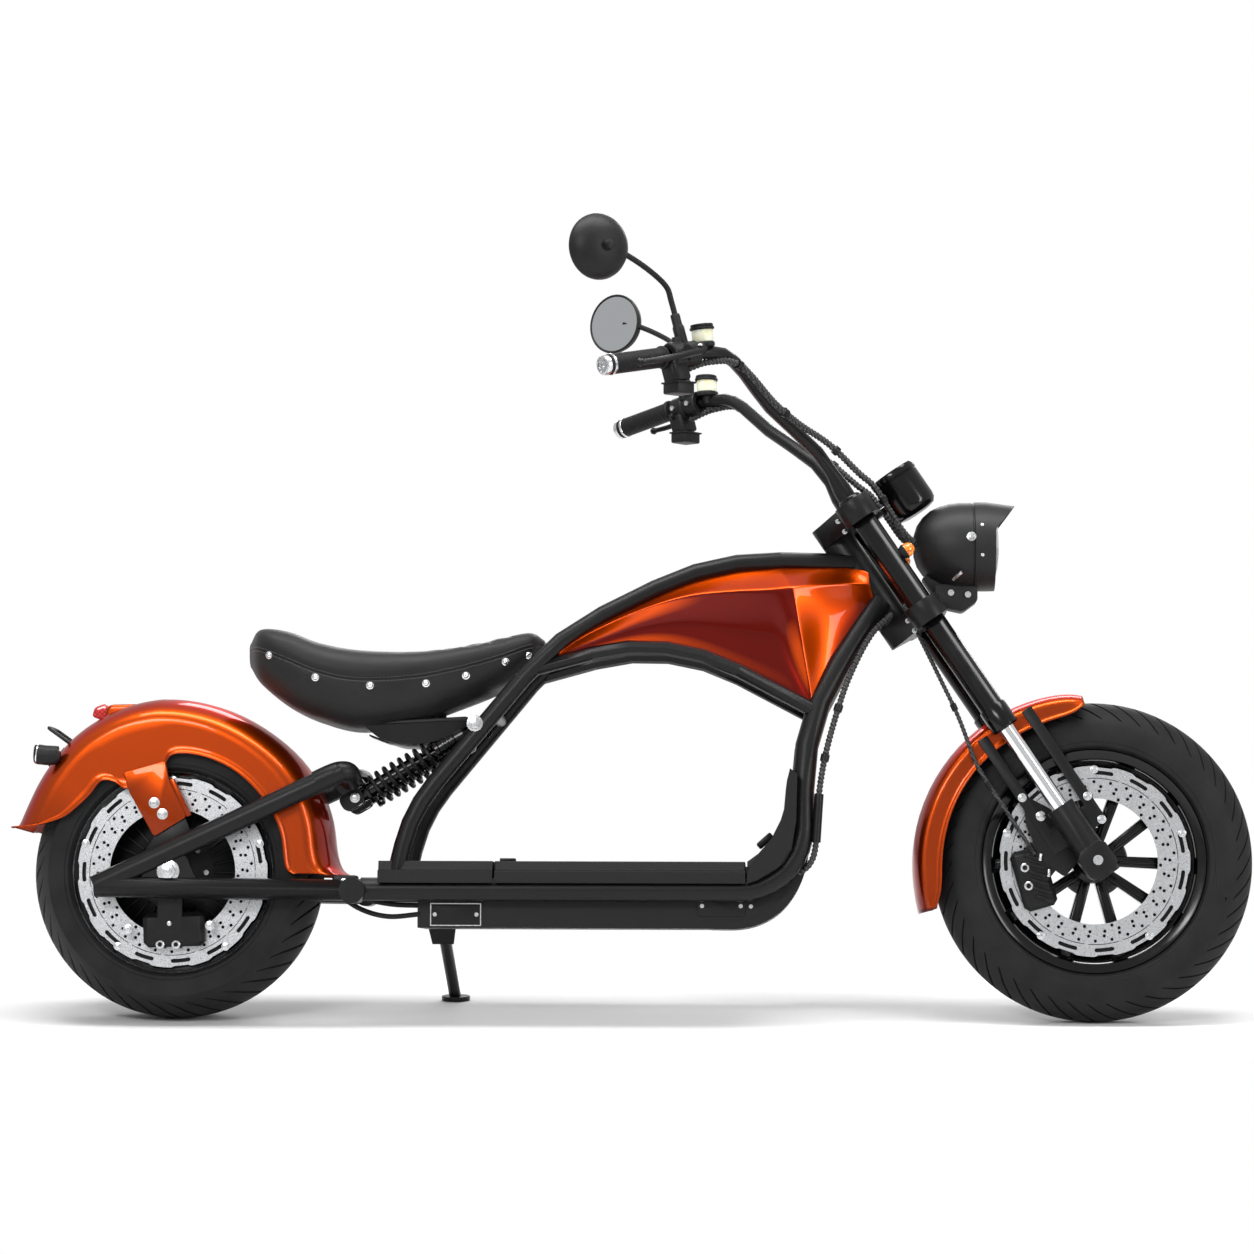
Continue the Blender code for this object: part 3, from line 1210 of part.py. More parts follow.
def make_front_lamps():
    centre = FRONT_AXLE + HEADLIGHT
    matrix = axes(centre, (0.0, 0.0, -1.0), (1.0, 0.0, 0.0))
    length = HEADLIGHT_FRONT - HEADLIGHT_REAR
    bullet = []
    for index in range(SHELL_STEPS):
        angle = math.radians(90.0 - 16.0 * index)
        bullet.append((HEADLIGHT_RADIUS * math.sin(angle),
                       HEADLIGHT_FRONT - SHELL_STRAIGHT - (length - SHELL_STRAIGHT) * math.cos(angle)))
    shell = turned("shell", [
        (0.0, HEADLIGHT_FRONT - LENS_DEPTH),
        (HEADLIGHT_RADIUS - SHELL_WALL, HEADLIGHT_FRONT - LENS_DEPTH),
        (HEADLIGHT_RADIUS - SHELL_WALL, VISOR_FRONT),
        (HEADLIGHT_RADIUS, VISOR_FRONT),
        *bullet,
        (0.0, HEADLIGHT_REAR),
    ], matrix, 24)
    slope = math.atan2(VISOR_FRONT - VISOR_FOOT, 2 * HEADLIGHT_RADIUS)
    depth = VISOR_FRONT
    beyond = box("beyond", (depth / 2, 0.0, 0.0), (depth, 4 * HEADLIGHT_RADIUS, 4 * HEADLIGHT_RADIUS),
                 Matrix.Translation(centre + Vector((VISOR_FOOT, 0.0, -HEADLIGHT_RADIUS)))
                 @ Matrix.Rotation(slope, 4, "Y"))
    cut(shell, beyond)
    front = head_point(LOWER_CLAMP) + FORK_FORWARD * (FORK_OFFSET + CLAMP_COLLAR_RADIUS + GAP)
    arm = box("arm", (HEADLIGHT_ARM[0] / 2, 0.0, HEADLIGHT_ARM_UP), HEADLIGHT_ARM,
              axes(front, FORK_FORWARD, FORK_UP))
    piece(join(shell, arm), "headlight_shell", BLACK, steering)
    lens_back = HEADLIGHT_FRONT - LENS_DEPTH + GAP
    lens = turned("lens", [
        (0.0, HEADLIGHT_FRONT + LENS_BULGE[0]),
        (LENS_RADIUS / 2, HEADLIGHT_FRONT + LENS_BULGE[1]),
        (LENS_RADIUS, HEADLIGHT_FRONT + LENS_BULGE[2]),
        (LENS_RADIUS, lens_back),
        (0.0, lens_back),
    ], matrix, 24)
    piece(lens, "headlight_lens", CLEAR, steering)
    place = fork_point(UPPER_CLAMP - SPEEDO_BELOW_CLAMP, SPEEDO_FORWARD)
    cup = turned("cup", [
        (0.0, SPEEDO_HALF_LENGTH),
        (SPEEDO_RADIUS - SPEEDO_EDGE, SPEEDO_HALF_LENGTH),
        (SPEEDO_RADIUS, SPEEDO_HALF_LENGTH - SPEEDO_EDGE),
        (SPEEDO_RADIUS, -SPEEDO_HALF_LENGTH * 0.3),
        (SPEEDO_RADIUS * 0.7, -SPEEDO_HALF_LENGTH),
        (0.0, -SPEEDO_HALF_LENGTH),
    ], axes(place, FORK_FORWARD, FORK_UP), 28)
    reach = SPEEDO_FORWARD - CLAMP_COLLAR_RADIUS - GAP
    arm = box("arm", (reach / 2, 0.0, 0.0), (reach, *SPEEDO_ARM),
              axes(fork_point(UPPER_CLAMP, CLAMP_COLLAR_RADIUS + GAP), FORK_FORWARD, FORK_UP))
    piece(join(cup, arm), "speedometer", CHROME, steering)
    for name, side in SIDES:
        place = fork_point(MARKER_ALONG, FORK_TUBE_RADIUS + GAP, LEG_Y * side)
        lamp = rod("lamp", place, place + FORK_FORWARD * MARKER_LENGTH, MARKER_RADII[0], 12, MARKER_RADII[1])
        piece(lamp, "marker_lamp_" + name, AMBER, steering)


make_front_lamps()



def make_bars():
    grip_line = (GRIP_END - GRIP_START).normalized()
    for name, side in SIDES:
        foot = fork_point(UPPER_CLAMP + CLAMP_HALF_HEIGHT + GAP, 0.0, BAR_ROUTE[0][1])
        grip_middle = GRIP_START.lerp(GRIP_END, 0.45)
        upward = [bar_point(point, side) for point in (*BAR_ROUTE, grip_middle)]
        route = smooth_path([side_point(foot, side), *upward], BAR_STEPS)
        swell = [RISER_RADIUS / BAR_RADIUS] * (BAR_STEPS + 1)
        radii = swell + [1.0] * (len(route) - len(swell))
        bar = tube("bar", route, BAR_RADIUS, 10, radii)
        beyond = route[:-1] + [route[-1] + (route[-1] - route[-2]).normalized() * GAP]
        bar_cut = tube("bar_cut", beyond, BAR_RADIUS + GAP, 10, radii)
        clamp_top = below("clamp_top", axes(side_point(foot, side), FORK_FORWARD, FORK_UP))
        piece(cut(bar, clamp_top), "handlebar_" + name, BLACK, steering)
        start, end = bar_point(GRIP_START, side), bar_point(GRIP_END, side)
        piece(cut(rod("grip", start, end, GRIP_RADIUS, 20), bar_cut), "grip_" + name, GRIP_RUBBER, steering)
        place = bar_point(PERCH_PLACE, side)
        along = side_point(grip_line, side)
        ahead = side_point(LEVER_AHEAD, side)
        perch = rod("perch", place + along * PERCH_SPAN[0], place + along * PERCH_SPAN[1], PERCH_RADIUS, 14)
        arm = rod("lever_arm", place, place + ahead * LEVER_ARM_LENGTH, LEVER_ARM_RADIUS, 10)
        lever_route = [place + ahead * out + along * reach for out, reach in LEVER_ROUTE]
        lever = tube("lever", smooth_path(lever_route, 2), LEVER_RADIUS, 6)
        pot = box("pot", bar_point(POT_PLACE, side), POT_SIZE)
        neck = rod("neck", place, bar_point(POT_PLACE, side), POT_NECK_RADIUS, 10)
        lower = place - Vector((0.0, 0.0, SWITCH_DROP))
        switch = rod("switch", lower + along * SWITCH_SPAN[0], lower + along * SWITCH_SPAN[1],
                     PERCH_RADIUS, 12)
        mirror_route = [bar_point(point, side) for point in MIRROR_ROUTE]
        up = (mirror_route[1] - mirror_route[0]).normalized()
        socket = rod("socket", mirror_route[0] - up * SOCKET_LENGTH, mirror_route[0], SOCKET_RADIUS, 12)
        control = join(perch, arm, lever, pot, neck, switch, socket)
        piece(cut(control, bar_cut), "control_" + name, PLASTIC, steering)
        straight = mirror_route[0] + up * SOCKET_LENGTH * 0.4
        route = [mirror_route[0] + up * GAP, *smooth_path([straight, *mirror_route[1:]], 3)]
        stem = tube("stem", route, MIRROR_STEM_RADIUS, 8)
        head = turned("mirror", [
            (0.0, MIRROR_FACE),
            (MIRROR_RADIUS - MIRROR_EDGE, MIRROR_FACE),
            *((MIRROR_RADIUS * share, depth) for share, depth in MIRROR_BACK),
        ], axes(bar_point(MIRROR_HEAD, side), (0.0, 0.0, 1.0), side_point(MIRROR_FACING, side)), 20)
        piece(join(head, stem), "mirror_" + name, PLASTIC, steering)


make_bars()




def deck_section():
    """Half of the deck's stepped section as (y, z), from the middle of its underside outward."""
    return [
        (0.0, DECK_BOTTOM_Z),
        (DECK_HALF_WIDTH - DECK_LIP_THICKNESS, DECK_BOTTOM_Z),
        (DECK_HALF_WIDTH - DECK_LIP_THICKNESS, DECK_LIP_Z),
        (DECK_HALF_WIDTH, DECK_LIP_Z),
        (DECK_HALF_WIDTH, DECK_STEP_Z),
        (DECK_STEP_HALF_WIDTH, DECK_STEP_Z + 0.002),
        (DECK_STEP_HALF_WIDTH - 0.003, DECK_TOP_Z),
        (0.0, DECK_TOP_Z),
    ]


def deck_run(name, start, end):
    half = deck_section()
    ring = half + [(-y, z) for y, z in reversed(half[1:-1])]
    return loft(name, [[(x, y, z) for y, z in ring] for x in (start, end)])


def make_deck():
    cradles = [cutters_for[0] for cutters_for in frame_cutters.values()]
    mains = [cutters_for[1] for cutters_for in frame_cutters.values()]
    piece(cut(deck_run("deck", DECK_REAR_X, LID_REAR_X), *mains), "footboard_rear", PLASTIC, root)
    hinge = Vector((LID_REAR_X + LID_GAP, 0.0, DECK_TOP_Z))
    lid_axis = pivot("battery_lid_axis", hinge, (1.0, 0.0, 0.0), (0.0, -1.0, 0.0), root)
    piece(deck_run("lid", hinge.x, LID_FRONT_X - LID_GAP), "battery_lid", PLASTIC, lid_axis)
    top = ((LID_FRONT_X, DECK_TOP_Z),)
    front = plate("front", [SPLIT_LINE + DECK_RISE + top], 2 * (DECK_STEP_HALF_WIDTH), side_view(0.0))
    lip_outline = (*LIP_LINE, *DECK_RISE, (LID_FRONT_X, DECK_STEP_Z))
    lip_thickness = DECK_HALF_WIDTH - DECK_STEP_HALF_WIDTH + 0.002
    for side in (-1.0, 1.0):
        middle = side * (DECK_HALF_WIDTH - lip_thickness / 2)
        join(front, plate("lip", [lip_outline], lip_thickness, side_view(middle)))
    piece(cut(front, *cradles), "footboard_front", PLASTIC, root)
    split = [(x + GAP, z - GAP) for x, z in reversed(SPLIT_LINE[:5])]
    outline = [(BOX_REAR_X, BOX_BOTTOM_Z), *BOX_NOSE, *split, (BOX_REAR_X, DECK_BOTTOM_Z - GAP)]
    case = plate("case", [outline], 2 * BOX_HALF_WIDTH, side_view(0.0))
    inside = (BOX_REAR_X + BOX_WALL, BOX_BEND_X), (BOX_BOTTOM_Z + BOX_WALL, DECK_TOP_Z)
    hollow = box("hollow", ((inside[0][0] + inside[0][1]) / 2, 0.0, (inside[1][0] + inside[1][1]) / 2),
                 (inside[0][1] - inside[0][0], 2 * (BOX_HALF_WIDTH - BOX_WALL), inside[1][1] - inside[1][0]))
    piece(cut(case, hollow, *cradles), "battery_box", PLASTIC, root)
    ends = BOX_REAR_X + BOX_WALL + BATTERY_CLEARANCE, BOX_BEND_X - BATTERY_CLEARANCE
    levels = BOX_BOTTOM_Z + BOX_WALL + GAP, DECK_LIP_Z
    width = 2 * (BOX_HALF_WIDTH - BOX_WALL - BATTERY_CLEARANCE)
    battery = box("battery", ((ends[0] + ends[1]) / 2, 0.0, (levels[0] + levels[1]) / 2),
                  (ends[1] - ends[0], width, levels[1] - levels[0]))
    piece(battery, "battery", PLASTIC, root)


make_deck()



def make_seat():
    main = bent_path(to_head(MAIN, MAIN_HEAD, MAIN_RADIUS))
    carrier = point_at(main, SEAT_TUBE_X)
    end = ACROSS * carrier.y
    middle = Vector((carrier.x, 0.0, carrier.z))
    bracket = rod("seat_tube", middle - end, middle + end, SEAT_TUBE_RADIUS, 14)
    top = [*PAN, (middle.x, middle.z)]
    strip = top + [(x, z - PAN_THICKNESS) for x, z in reversed(top)]
    join(bracket, plate("pan", [strip], 2 * PAN_HALF_WIDTH, side_view(0.0)))
    posts = []
    for x in SEAT_POSTS_X:
        foot = point_at([Vector((px, 0.0, z)) for px, z in PAN], x) - Vector((0.0, 0.0, PAN_THICKNESS / 2))
        head = Vector((x, 0.0, SEAT_POST_TOP))
        join(bracket, rod("post", foot, head, SEAT_POST_RADIUS, 12))
        posts.append(rod("post_cut", foot, head + Vector((0.0, 0.0, GAP)), SEAT_POST_RADIUS + GAP, 12))
    mains = [cutters_for[1] for cutters_for in frame_cutters.values()]
    piece(cut(bracket, *mains), "seat_bracket", BLACK, root)
    rings = []
    for x, half_width, low, high in SEAT:
        ring = []
        for index in range(SEAT_STEPS):
            angle = math.tau * (index + 0.5) / SEAT_STEPS
            across, rise = math.cos(angle), math.sin(angle)
            ring.append((
                x,
                half_width * math.copysign(abs(across) ** 0.6, across),
                (low + high) / 2 + (high - low) / 2 * math.copysign(abs(rise) ** 0.6, rise),
            ))
        rings.append(ring)
    seat = loft("seat", rings)
    piece(cut(seat, *posts), "seat_cushion", LEATHER, root, 60.0)


make_seat()




def make_tail():
    fender = bpy.data.objects["rear_fender"]
    tail_box = on_fender(TAIL_BOX)
    join(fender, plate("tail_box", [tail_box], TAIL_BOX_WIDTH, side_view(0.0)))
    outline = [(x - GAP, z) for x, z in tail_box[2:4]] + on_fender(TAIL_LENS)
    piece(plate("lens", [outline], TAIL_LENS_WIDTH, side_view(0.0)), "tail_lens", RED, root)
    foot = fender_point(SIGNAL_ANGLE, GAP)
    out = fender_point(SIGNAL_ANGLE, GAP + SIGNAL_BAR_OUT) - foot
    bar_reach = ACROSS * SIGNAL_Y
    bracket = box("foot", (0.0, 0.0, SIGNAL_FOOT[2] / 2), SIGNAL_FOOT,
                  axes(foot, (-math.sin(SIGNAL_ANGLE), 0.0, math.cos(SIGNAL_ANGLE)), out))
    join(bracket, rod("bar", foot + out - bar_reach, foot + out + bar_reach, SIGNAL_BAR_RADIUS, 10))
    back = Vector((-1.0, 0.0, 0.05))
    for side in (-1.0, 1.0):
        place = foot + out + bar_reach * side
        join(bracket, rod("pod", place + back * SIGNAL_POD_FRONT, place + back * SIGNAL_POD_REAR,
                          SIGNAL_POD_RADIUS, 14))
    piece(bracket, "rear_signal_bar", PLASTIC, root)


make_tail()


def lean_and_centre():
    """Leans the scooter, then centres its outline over the origin."""
    root.matrix_basis = Matrix.Rotation(-LEAN, 4, "X")
    bpy.context.view_layer.update()
    graph = bpy.context.evaluated_depsgraph_get()
    corners = []
    for obj in scooter.objects:
        if obj.type == "MESH":
            final = obj.evaluated_get(graph)
            corners += [final.matrix_world @ vertex.co for vertex in final.data.vertices]
    middle = [(max(c[axis] for c in corners) + min(c[axis] for c in corners)) / 2 for axis in (0, 1)]
    root.matrix_basis = Matrix.Translation((-middle[0], -middle[1], 0.0)) @ root.matrix_basis
    bpy.context.view_layer.update()


lean_and_centre()
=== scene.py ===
"""Electric chopper scooter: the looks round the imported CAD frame.

Pieces are drawn upright, in metres, with X forward, Y to the rider's left and Z up, as in the part's
own source. UPRIGHT then leans them to the left, as the frame stands on its side stand.
"""
import json
from math import asin, atan2, copysign, cos, hypot, pi, radians, sin, tau

import bmesh
import bpy
from mathutils import Matrix, Vector
from mathutils.bvhtree import BVHTree


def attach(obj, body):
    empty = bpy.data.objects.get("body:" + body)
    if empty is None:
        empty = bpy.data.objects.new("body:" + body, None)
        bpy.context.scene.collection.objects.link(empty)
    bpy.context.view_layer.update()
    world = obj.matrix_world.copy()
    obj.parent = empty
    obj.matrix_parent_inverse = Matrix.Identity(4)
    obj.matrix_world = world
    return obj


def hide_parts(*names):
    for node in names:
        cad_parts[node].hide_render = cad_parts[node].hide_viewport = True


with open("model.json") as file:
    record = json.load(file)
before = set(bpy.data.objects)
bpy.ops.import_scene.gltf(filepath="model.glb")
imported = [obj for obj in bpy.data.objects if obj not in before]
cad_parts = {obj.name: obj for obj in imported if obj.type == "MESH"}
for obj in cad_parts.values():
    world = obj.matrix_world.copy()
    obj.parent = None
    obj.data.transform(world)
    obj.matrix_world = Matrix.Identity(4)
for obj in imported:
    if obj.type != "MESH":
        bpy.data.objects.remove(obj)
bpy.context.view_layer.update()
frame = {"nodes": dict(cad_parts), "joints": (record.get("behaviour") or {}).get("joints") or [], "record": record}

nodes = frame["nodes"]
joints = {joint["name"]: joint for joint in frame["joints"]}

LEAN = asin(-joints["rear_wheel_spin"]["axis"][2])
REAR_AXLE = Vector((-0.739, 0.0, 0.2395))
LEANING = Matrix.Rotation(-LEAN, 4, "X")
UPRIGHT = Matrix.Translation(Vector(joints["rear_wheel_spin"]["pos_m"]) - LEANING @ REAR_AXLE) @ LEANING
STANDING = UPRIGHT.inverted()
FRONT_AXLE = STANDING @ Vector(joints["front_wheel_spin"]["pos_m"])
FORK_UP = (STANDING.to_3x3() @ Vector(joints["steering"]["axis"])).normalized()
ACROSS = Vector((0.0, 1.0, 0.0))
FORK_FORWARD = ACROSS.cross(FORK_UP).normalized()
LEG_Y = 0.1
SIDES = (("right", -1.0), ("left", 1.0))


def fork_point(along, forward=0.0, y=0.0):
    """A point by its distance up the fork leg from the axle, and in front of the leg."""
    return FRONT_AXLE + FORK_UP * along + FORK_FORWARD * forward + ACROSS * y


def from_front_axle(point, side):
    """A point on either side, given from the front axle."""
    return FRONT_AXLE + Vector((point[0], point[1] * side, point[2]))


def standing_box(name):
    """Lowest and highest corner of a CAD node, measured upright."""
    points = [STANDING @ vertex.co for vertex in nodes[name].data.vertices]
    return [Vector([end(point[axis] for point in points) for axis in range(3)]) for end in (min, max)]


slot_names = {part["node"]: part["material_slot"] for part in frame["record"]["subparts"]}
for plain in list(bpy.data.materials):
    bpy.data.materials.remove(plain)


# Materials

def linear(code):
    """An sRGB hex colour as linear light."""
    shares = [int(code[place:place + 2], 16) / 255 for place in (1, 3, 5)]
    return [
        share / 12.92 if share <= 0.04045 else ((share + 0.055) / 1.055) ** 2.4 for share in shares
    ] + [1.0]


def node(tree, kind, inputs=None, **settings):
    """Adds a node: inputs are values or other outputs by socket name, and settings are its properties."""
    made = tree.nodes.new(kind)
    for key, value in settings.items():
        setattr(made, key, value)
    for key, value in (inputs or {}).items():
        if isinstance(value, bpy.types.NodeSocket):
            tree.links.new(value, made.inputs[key])
        else:
            made.inputs[key].default_value = value
    return made


def finish(name, colour, roughness, metallic=0.0, **shader_inputs):
    """A material on the Principled shader, with its tree, shader and Object coordinates for patterns."""
    made = bpy.data.materials.new(name)
    made.use_nodes = True
    tree = made.node_tree
    shader = tree.nodes["Principled BSDF"]
    shader.inputs["Base Color"].default_value = linear(colour)
    shader.inputs["Roughness"].default_value = roughness
    shader.inputs["Metallic"].default_value = metallic
    for key, value in shader_inputs.items():
        shader.inputs[key.replace("_", " ").title().replace("Ior", "IOR")].default_value = value
    return made, tree, shader, node(tree, "ShaderNodeTexCoord").outputs["Object"]


def speckle(tree, where, size_mm, detail=2.0):
    """Noise whose grains are about size_mm across."""
    settings = {"Vector": where, "Scale": 1000.0 / size_mm, "Detail": detail}
    return node(tree, "ShaderNodeTexNoise", settings).outputs["Fac"]


def between(tree, factor, low, high, start=0.3, end=0.7):
    """A colour that runs from low to high as the factor goes from start to end."""
    ramp = node(tree, "ShaderNodeValToRGB", {"Fac": factor})
    ramp.color_ramp.elements[0].position = start
    ramp.color_ramp.elements[1].position = end
    ramp.color_ramp.elements[0].color = low if isinstance(low, list) else (low, low, low, 1.0)
    ramp.color_ramp.elements[1].color = high if isinstance(high, list) else (high, high, high, 1.0)
    return ramp.outputs["Color"]


def bumped(tree, shader, height, depth_mm, strength=1.0):
    bump = node(
        tree, "ShaderNodeBump", {"Height": height, "Distance": depth_mm / 1000.0, "Strength": strength}
    )
    tree.links.new(bump.outputs["Normal"], shader.inputs["Normal"])


def varied(made, tree, shader, pattern, rough=None, tones=None, span=(0.3, 0.7), bump=None):
    """Lets a pattern vary a material's roughness, tone and, by a depth in mm and a strength, relief."""
    if rough:
        tree.links.new(between(tree, pattern, *rough, *span), shader.inputs["Roughness"])
    if tones:
        tree.links.new(between(tree, pattern, *map(linear, tones), *span), shader.inputs["Base Color"])
    if bump:
        bumped(tree, shader, pattern, *bump)
    return made


def grained(
    name, colour, roughness, grain_mm, detail=2.0, rough=None, tones=None, bump=None, **shader_inputs
):
    """A material varied by a fine grain."""
    made, tree, shader, where = finish(name, colour, roughness, **shader_inputs)
    return varied(made, tree, shader, speckle(tree, where, grain_mm, detail), rough, tones, bump=bump)


def candy_orange_paint(name="candy_orange_paint", shade="#560D01", painted_highlight="#C84A05", shaded_flat_sides=False):
    """Clear-coated candy lacquer over fine metal flake, with painted light by the way each surface faces: a
    painted highlight in bright orange on top, and painted shade in deep red where it turns down.

    With the flat-sides flag the panels that face straight out get the painted shade in deep red, and the
    painted highlight falls only along their ridges.
    """
    made, tree, shader, where = finish(
        name, "#C24A0A", 0.34, 0.97, coat_weight=0.45, coat_roughness=0.015, coat_ior=1.4,
    )
    shader.inputs["Specular Tint"].default_value = linear("#B8380A")
    normal = node(tree, "ShaderNodeNewGeometry").outputs["Normal"]
    split = node(tree, "ShaderNodeSeparateXYZ", {"Vector": normal})
    level = node(
        tree, "ShaderNodeMapRange", {"Value": split.outputs["Z"], "From Min": -0.7, "From Max": 0.75}
    )
    if shaded_flat_sides:
        out = node(tree, "ShaderNodeMath", {0: split.outputs["Y"]}, operation="ABSOLUTE")
        level = node(
            tree, "ShaderNodeMapRange", {"Value": out.outputs[0], "From Min": 0.975, "From Max": 0.855}
        )
    # Painted light: the tint runs from painted shade on surfaces facing down to a painted highlight on those
    # facing up; with the flat-sides flag, from painted shade on surfaces facing straight out to a painted
    # highlight where they turn away.
    painted_light_tint = between(tree, level.outputs["Result"], linear(shade), linear(painted_highlight), 0.18, 0.95)
    flake = node(tree, "ShaderNodeTexVoronoi", {"Vector": where, "Scale": 1000.0 / 0.6})
    glitter = between(tree, flake.outputs["Distance"], 0.84, 1.0, 0.1, 0.6)
    mixed = node(
        tree, "ShaderNodeMix", {0: 1.0, 6: painted_light_tint, 7: glitter}, data_type="RGBA", blend_type="MULTIPLY"
    )
    tree.links.new(mixed.outputs[2], shader.inputs["Base Color"])
    return made


def tyre_rubber():
    """Moulded tyre rubber: dull black with a faint bloom and the fine grain of its mould."""
    made, tree, shader, where = finish("tyre_rubber", "#141415", 0.66, specular_ior_level=0.22)
    bumped(tree, shader, speckle(tree, where, 1.6, 3.0), 0.15, 0.6)
    return varied(made, tree, shader, speckle(tree, where, 45.0, 4.0), tones=("#111112", "#1B1B1C"))


def black_leather():
    """Black upholstery leather: pebbled grain, a soft sheen and paler worn ridges."""
    made, tree, shader, where = finish(
        "black_leather", "#131314", 0.46, sheen_weight=0.05, specular_ior_level=0.28
    )
    pebbles = {"Vector": where, "Scale": 1000.0 / 3.0}
    grain = node(tree, "ShaderNodeTexVoronoi", pebbles, feature="DISTANCE_TO_EDGE")
    bumped(tree, shader, between(tree, grain.outputs["Distance"], 0.0, 1.0, 0.0, 0.22), 0.25, 0.55)
    return varied(made, tree, shader, speckle(tree, where, 60.0, 3.0), (0.4, 0.54), ("#0F0F10", "#18181A"))


def coloured_lens(name, dark, light):
    """Moulded acrylic lens with prisms behind its face."""
    made, tree, shader, where = finish(name, light, 0.12, ior=1.49, coat_weight=0.6)
    prism = node(tree, "ShaderNodeTexChecker", {"Vector": where, "Scale": 1000.0 / 4.0})
    return varied(made, tree, shader, prism.outputs["Fac"], tones=(dark, light), span=(0.0, 1.0))


def woven(
    name, colour, roughness, pitch_mm, tones, span=(0.3, 0.7), distortion=0.0, bump=None, **shader_inputs
):
    """A material of threads laid slanting, side by side."""
    made, tree, shader, where = finish(name, colour, roughness, **shader_inputs)
    laid = {"Vector": where, "Scale": 1000.0 / pitch_mm, "Distortion": distortion}
    threads = node(tree, "ShaderNodeTexWave", laid, bands_direction="DIAGONAL").outputs["Fac"]
    return varied(made, tree, shader, threads, tones=tones, span=span, bump=bump)


# Both orange paints carry painted light: the first a painted highlight on surfaces facing up and painted shade in
# deep red on those facing down, the second painted shade in deep red on the covers' flat sides and a painted
# highlight along their ridges.
ORANGE = candy_orange_paint()
SIDE_SHADED_ORANGE = candy_orange_paint("candy_orange_shaded_sides", "#660A01", "#E04E06", True)
# Powder coats with a fine orange peel: satin on the frame, duller on the lamp, where highlights spread wide.
BLACK = grained(
    "black_frame_paint", "#0D0D0E", 0.4, 2.2, rough=(0.33, 0.46), bump=(0.1, 0.5), specular_ior_level=0.24)
SHELL_BLACK = grained(
    "shell_black_paint", "#121213", 0.5, 1.6, rough=(0.44, 0.56), bump=(0.06, 0.4), specular_ior_level=0.32)
# Lacquer on the rims and fork tubes: dark, with crisp highlights.
GLOSS = grained("gloss_black_paint", "#050506", 0.14, 35.0, rough=(0.12, 0.22), specular_ior_level=0.3)
TYRE = tyre_rubber()
# Soft moulded grip with a tiny pebble.
GRIP = grained("grip_rubber", "#0F0F10", 0.62, 1.2, bump=(0.15, 0.7), specular_ior_level=0.25)
LEATHER = black_leather()
# Ground stainless discs, bright plate with a faint haze, zinc on bolts, and silvered glass.
STEEL = grained(
    "brushed_steel", "#C2C3C5", 0.3, 1.3, 3.0, rough=(0.22, 0.42), tones=("#AEAFB2", "#D2D3D5"), metallic=1.0)
CHROME = grained("chrome", "#E2E3E5", 0.06, 18.0, rough=(0.04, 0.12), metallic=1.0)
ZINC = grained("zinc_bolt", "#C9CACC", 0.28, 3.0, rough=(0.18, 0.4), metallic=1.0)
GLASS = grained("mirror_glass", "#B9BCBE", 0.03, 25.0, rough=(0.02, 0.05), metallic=1.0)
# Sand-cast alloy under satin black, and moulded ABS with a spark-eroded texture.
ALLOY = grained(
    "black_cast_alloy", "#0D0D0E", 0.38, 1.5, 3.0,
    rough=(0.32, 0.48), bump=(0.12, 0.5), specular_ior_level=0.25)
PLASTIC = grained(
    "black_plastic", "#101011", 0.46, 0.9, rough=(0.42, 0.56), bump=(0.08, 0.5), specular_ior_level=0.26)
# Polycarbonate over the lamp and dial, a milky pot warm where the fluid stands, and the dial's screen print.
CLEAR = grained("clear_lens", "#F4F6F8", 0.06, 12.0, rough=(0.04, 0.1), ior=1.58, transmission_weight=0.9)
FLUID = grained(
    "fluid_plastic", "#EDE6C8", 0.3, 14.0, tones=("#E3D9A8", "#F4F0E0"), ior=1.5, subsurface_weight=0.3
)
PRINT = grained("dial_print", "#E6E6E2", 0.55, 2.0, tones=("#DADAD6", "#F0F0EC"))
RED = coloured_lens("red_lens", "#8E0606", "#D41414")
AMBER = coloured_lens("amber_lens", "#C45A04", "#FF9A1C")
# A woven sleeve round the wires, coarse enough to show, and waxed thread in short stitches.
SLEEVE = woven("braided_sleeve", "#161617", 0.6, 12.0, ("#0D0D0E", "#3A3A3C"), (0.4, 0.8), 1.0, (0.4, 0.8))
THREAD = woven("waxed_thread", "#2A2A2C", 0.55, 6.0, ("#202022", "#3C3C3F"), sheen_weight=0.2)

# The record's slot for each material that the record doesn't name.
FINISHES = {made.name: made for made in (
    ORANGE, BLACK, TYRE, GRIP, LEATHER, STEEL, CHROME, ALLOY, PLASTIC, CLEAR, RED, AMBER,
)}


# Making meshes

def meshed(shape, name="part"):
    """Turns a shape into a mesh."""
    mesh = bpy.data.meshes.new(name)
    shape.to_mesh(mesh)
    shape.free()
    return mesh


def shown(name, data):
    """A new object in the scene."""
    obj = bpy.data.objects.new(name, data)
    bpy.context.scene.collection.objects.link(obj)
    return obj


def added(*shapes):
    """Several shapes as one."""
    whole = bmesh.new()
    for shape in shapes:
        mesh = meshed(shape)
        whole.from_mesh(mesh)
        bpy.data.meshes.remove(mesh)
    return whole


def copied(shape, matrices):
    """A shape repeated at each matrix."""
    mesh, whole = meshed(shape), bmesh.new()
    for matrix in matrices:
        moved = mesh.copy()
        moved.transform(matrix)
        whole.from_mesh(moved)
        bpy.data.meshes.remove(moved)
    bpy.data.meshes.remove(mesh)
    return whole


def placed(shape, matrix):
    bmesh.ops.transform(shape, matrix=matrix, verts=shape.verts)
    return shape


def bevelled(shape, edges, width, segments=2, clamped=False):
    """Rounds some edges of a shape."""
    bmesh.ops.bevel(
        shape, geom=edges, offset=width, segments=segments, profile=0.5, affect="EDGES",
        clamp_overlap=clamped, material=-1,
    )


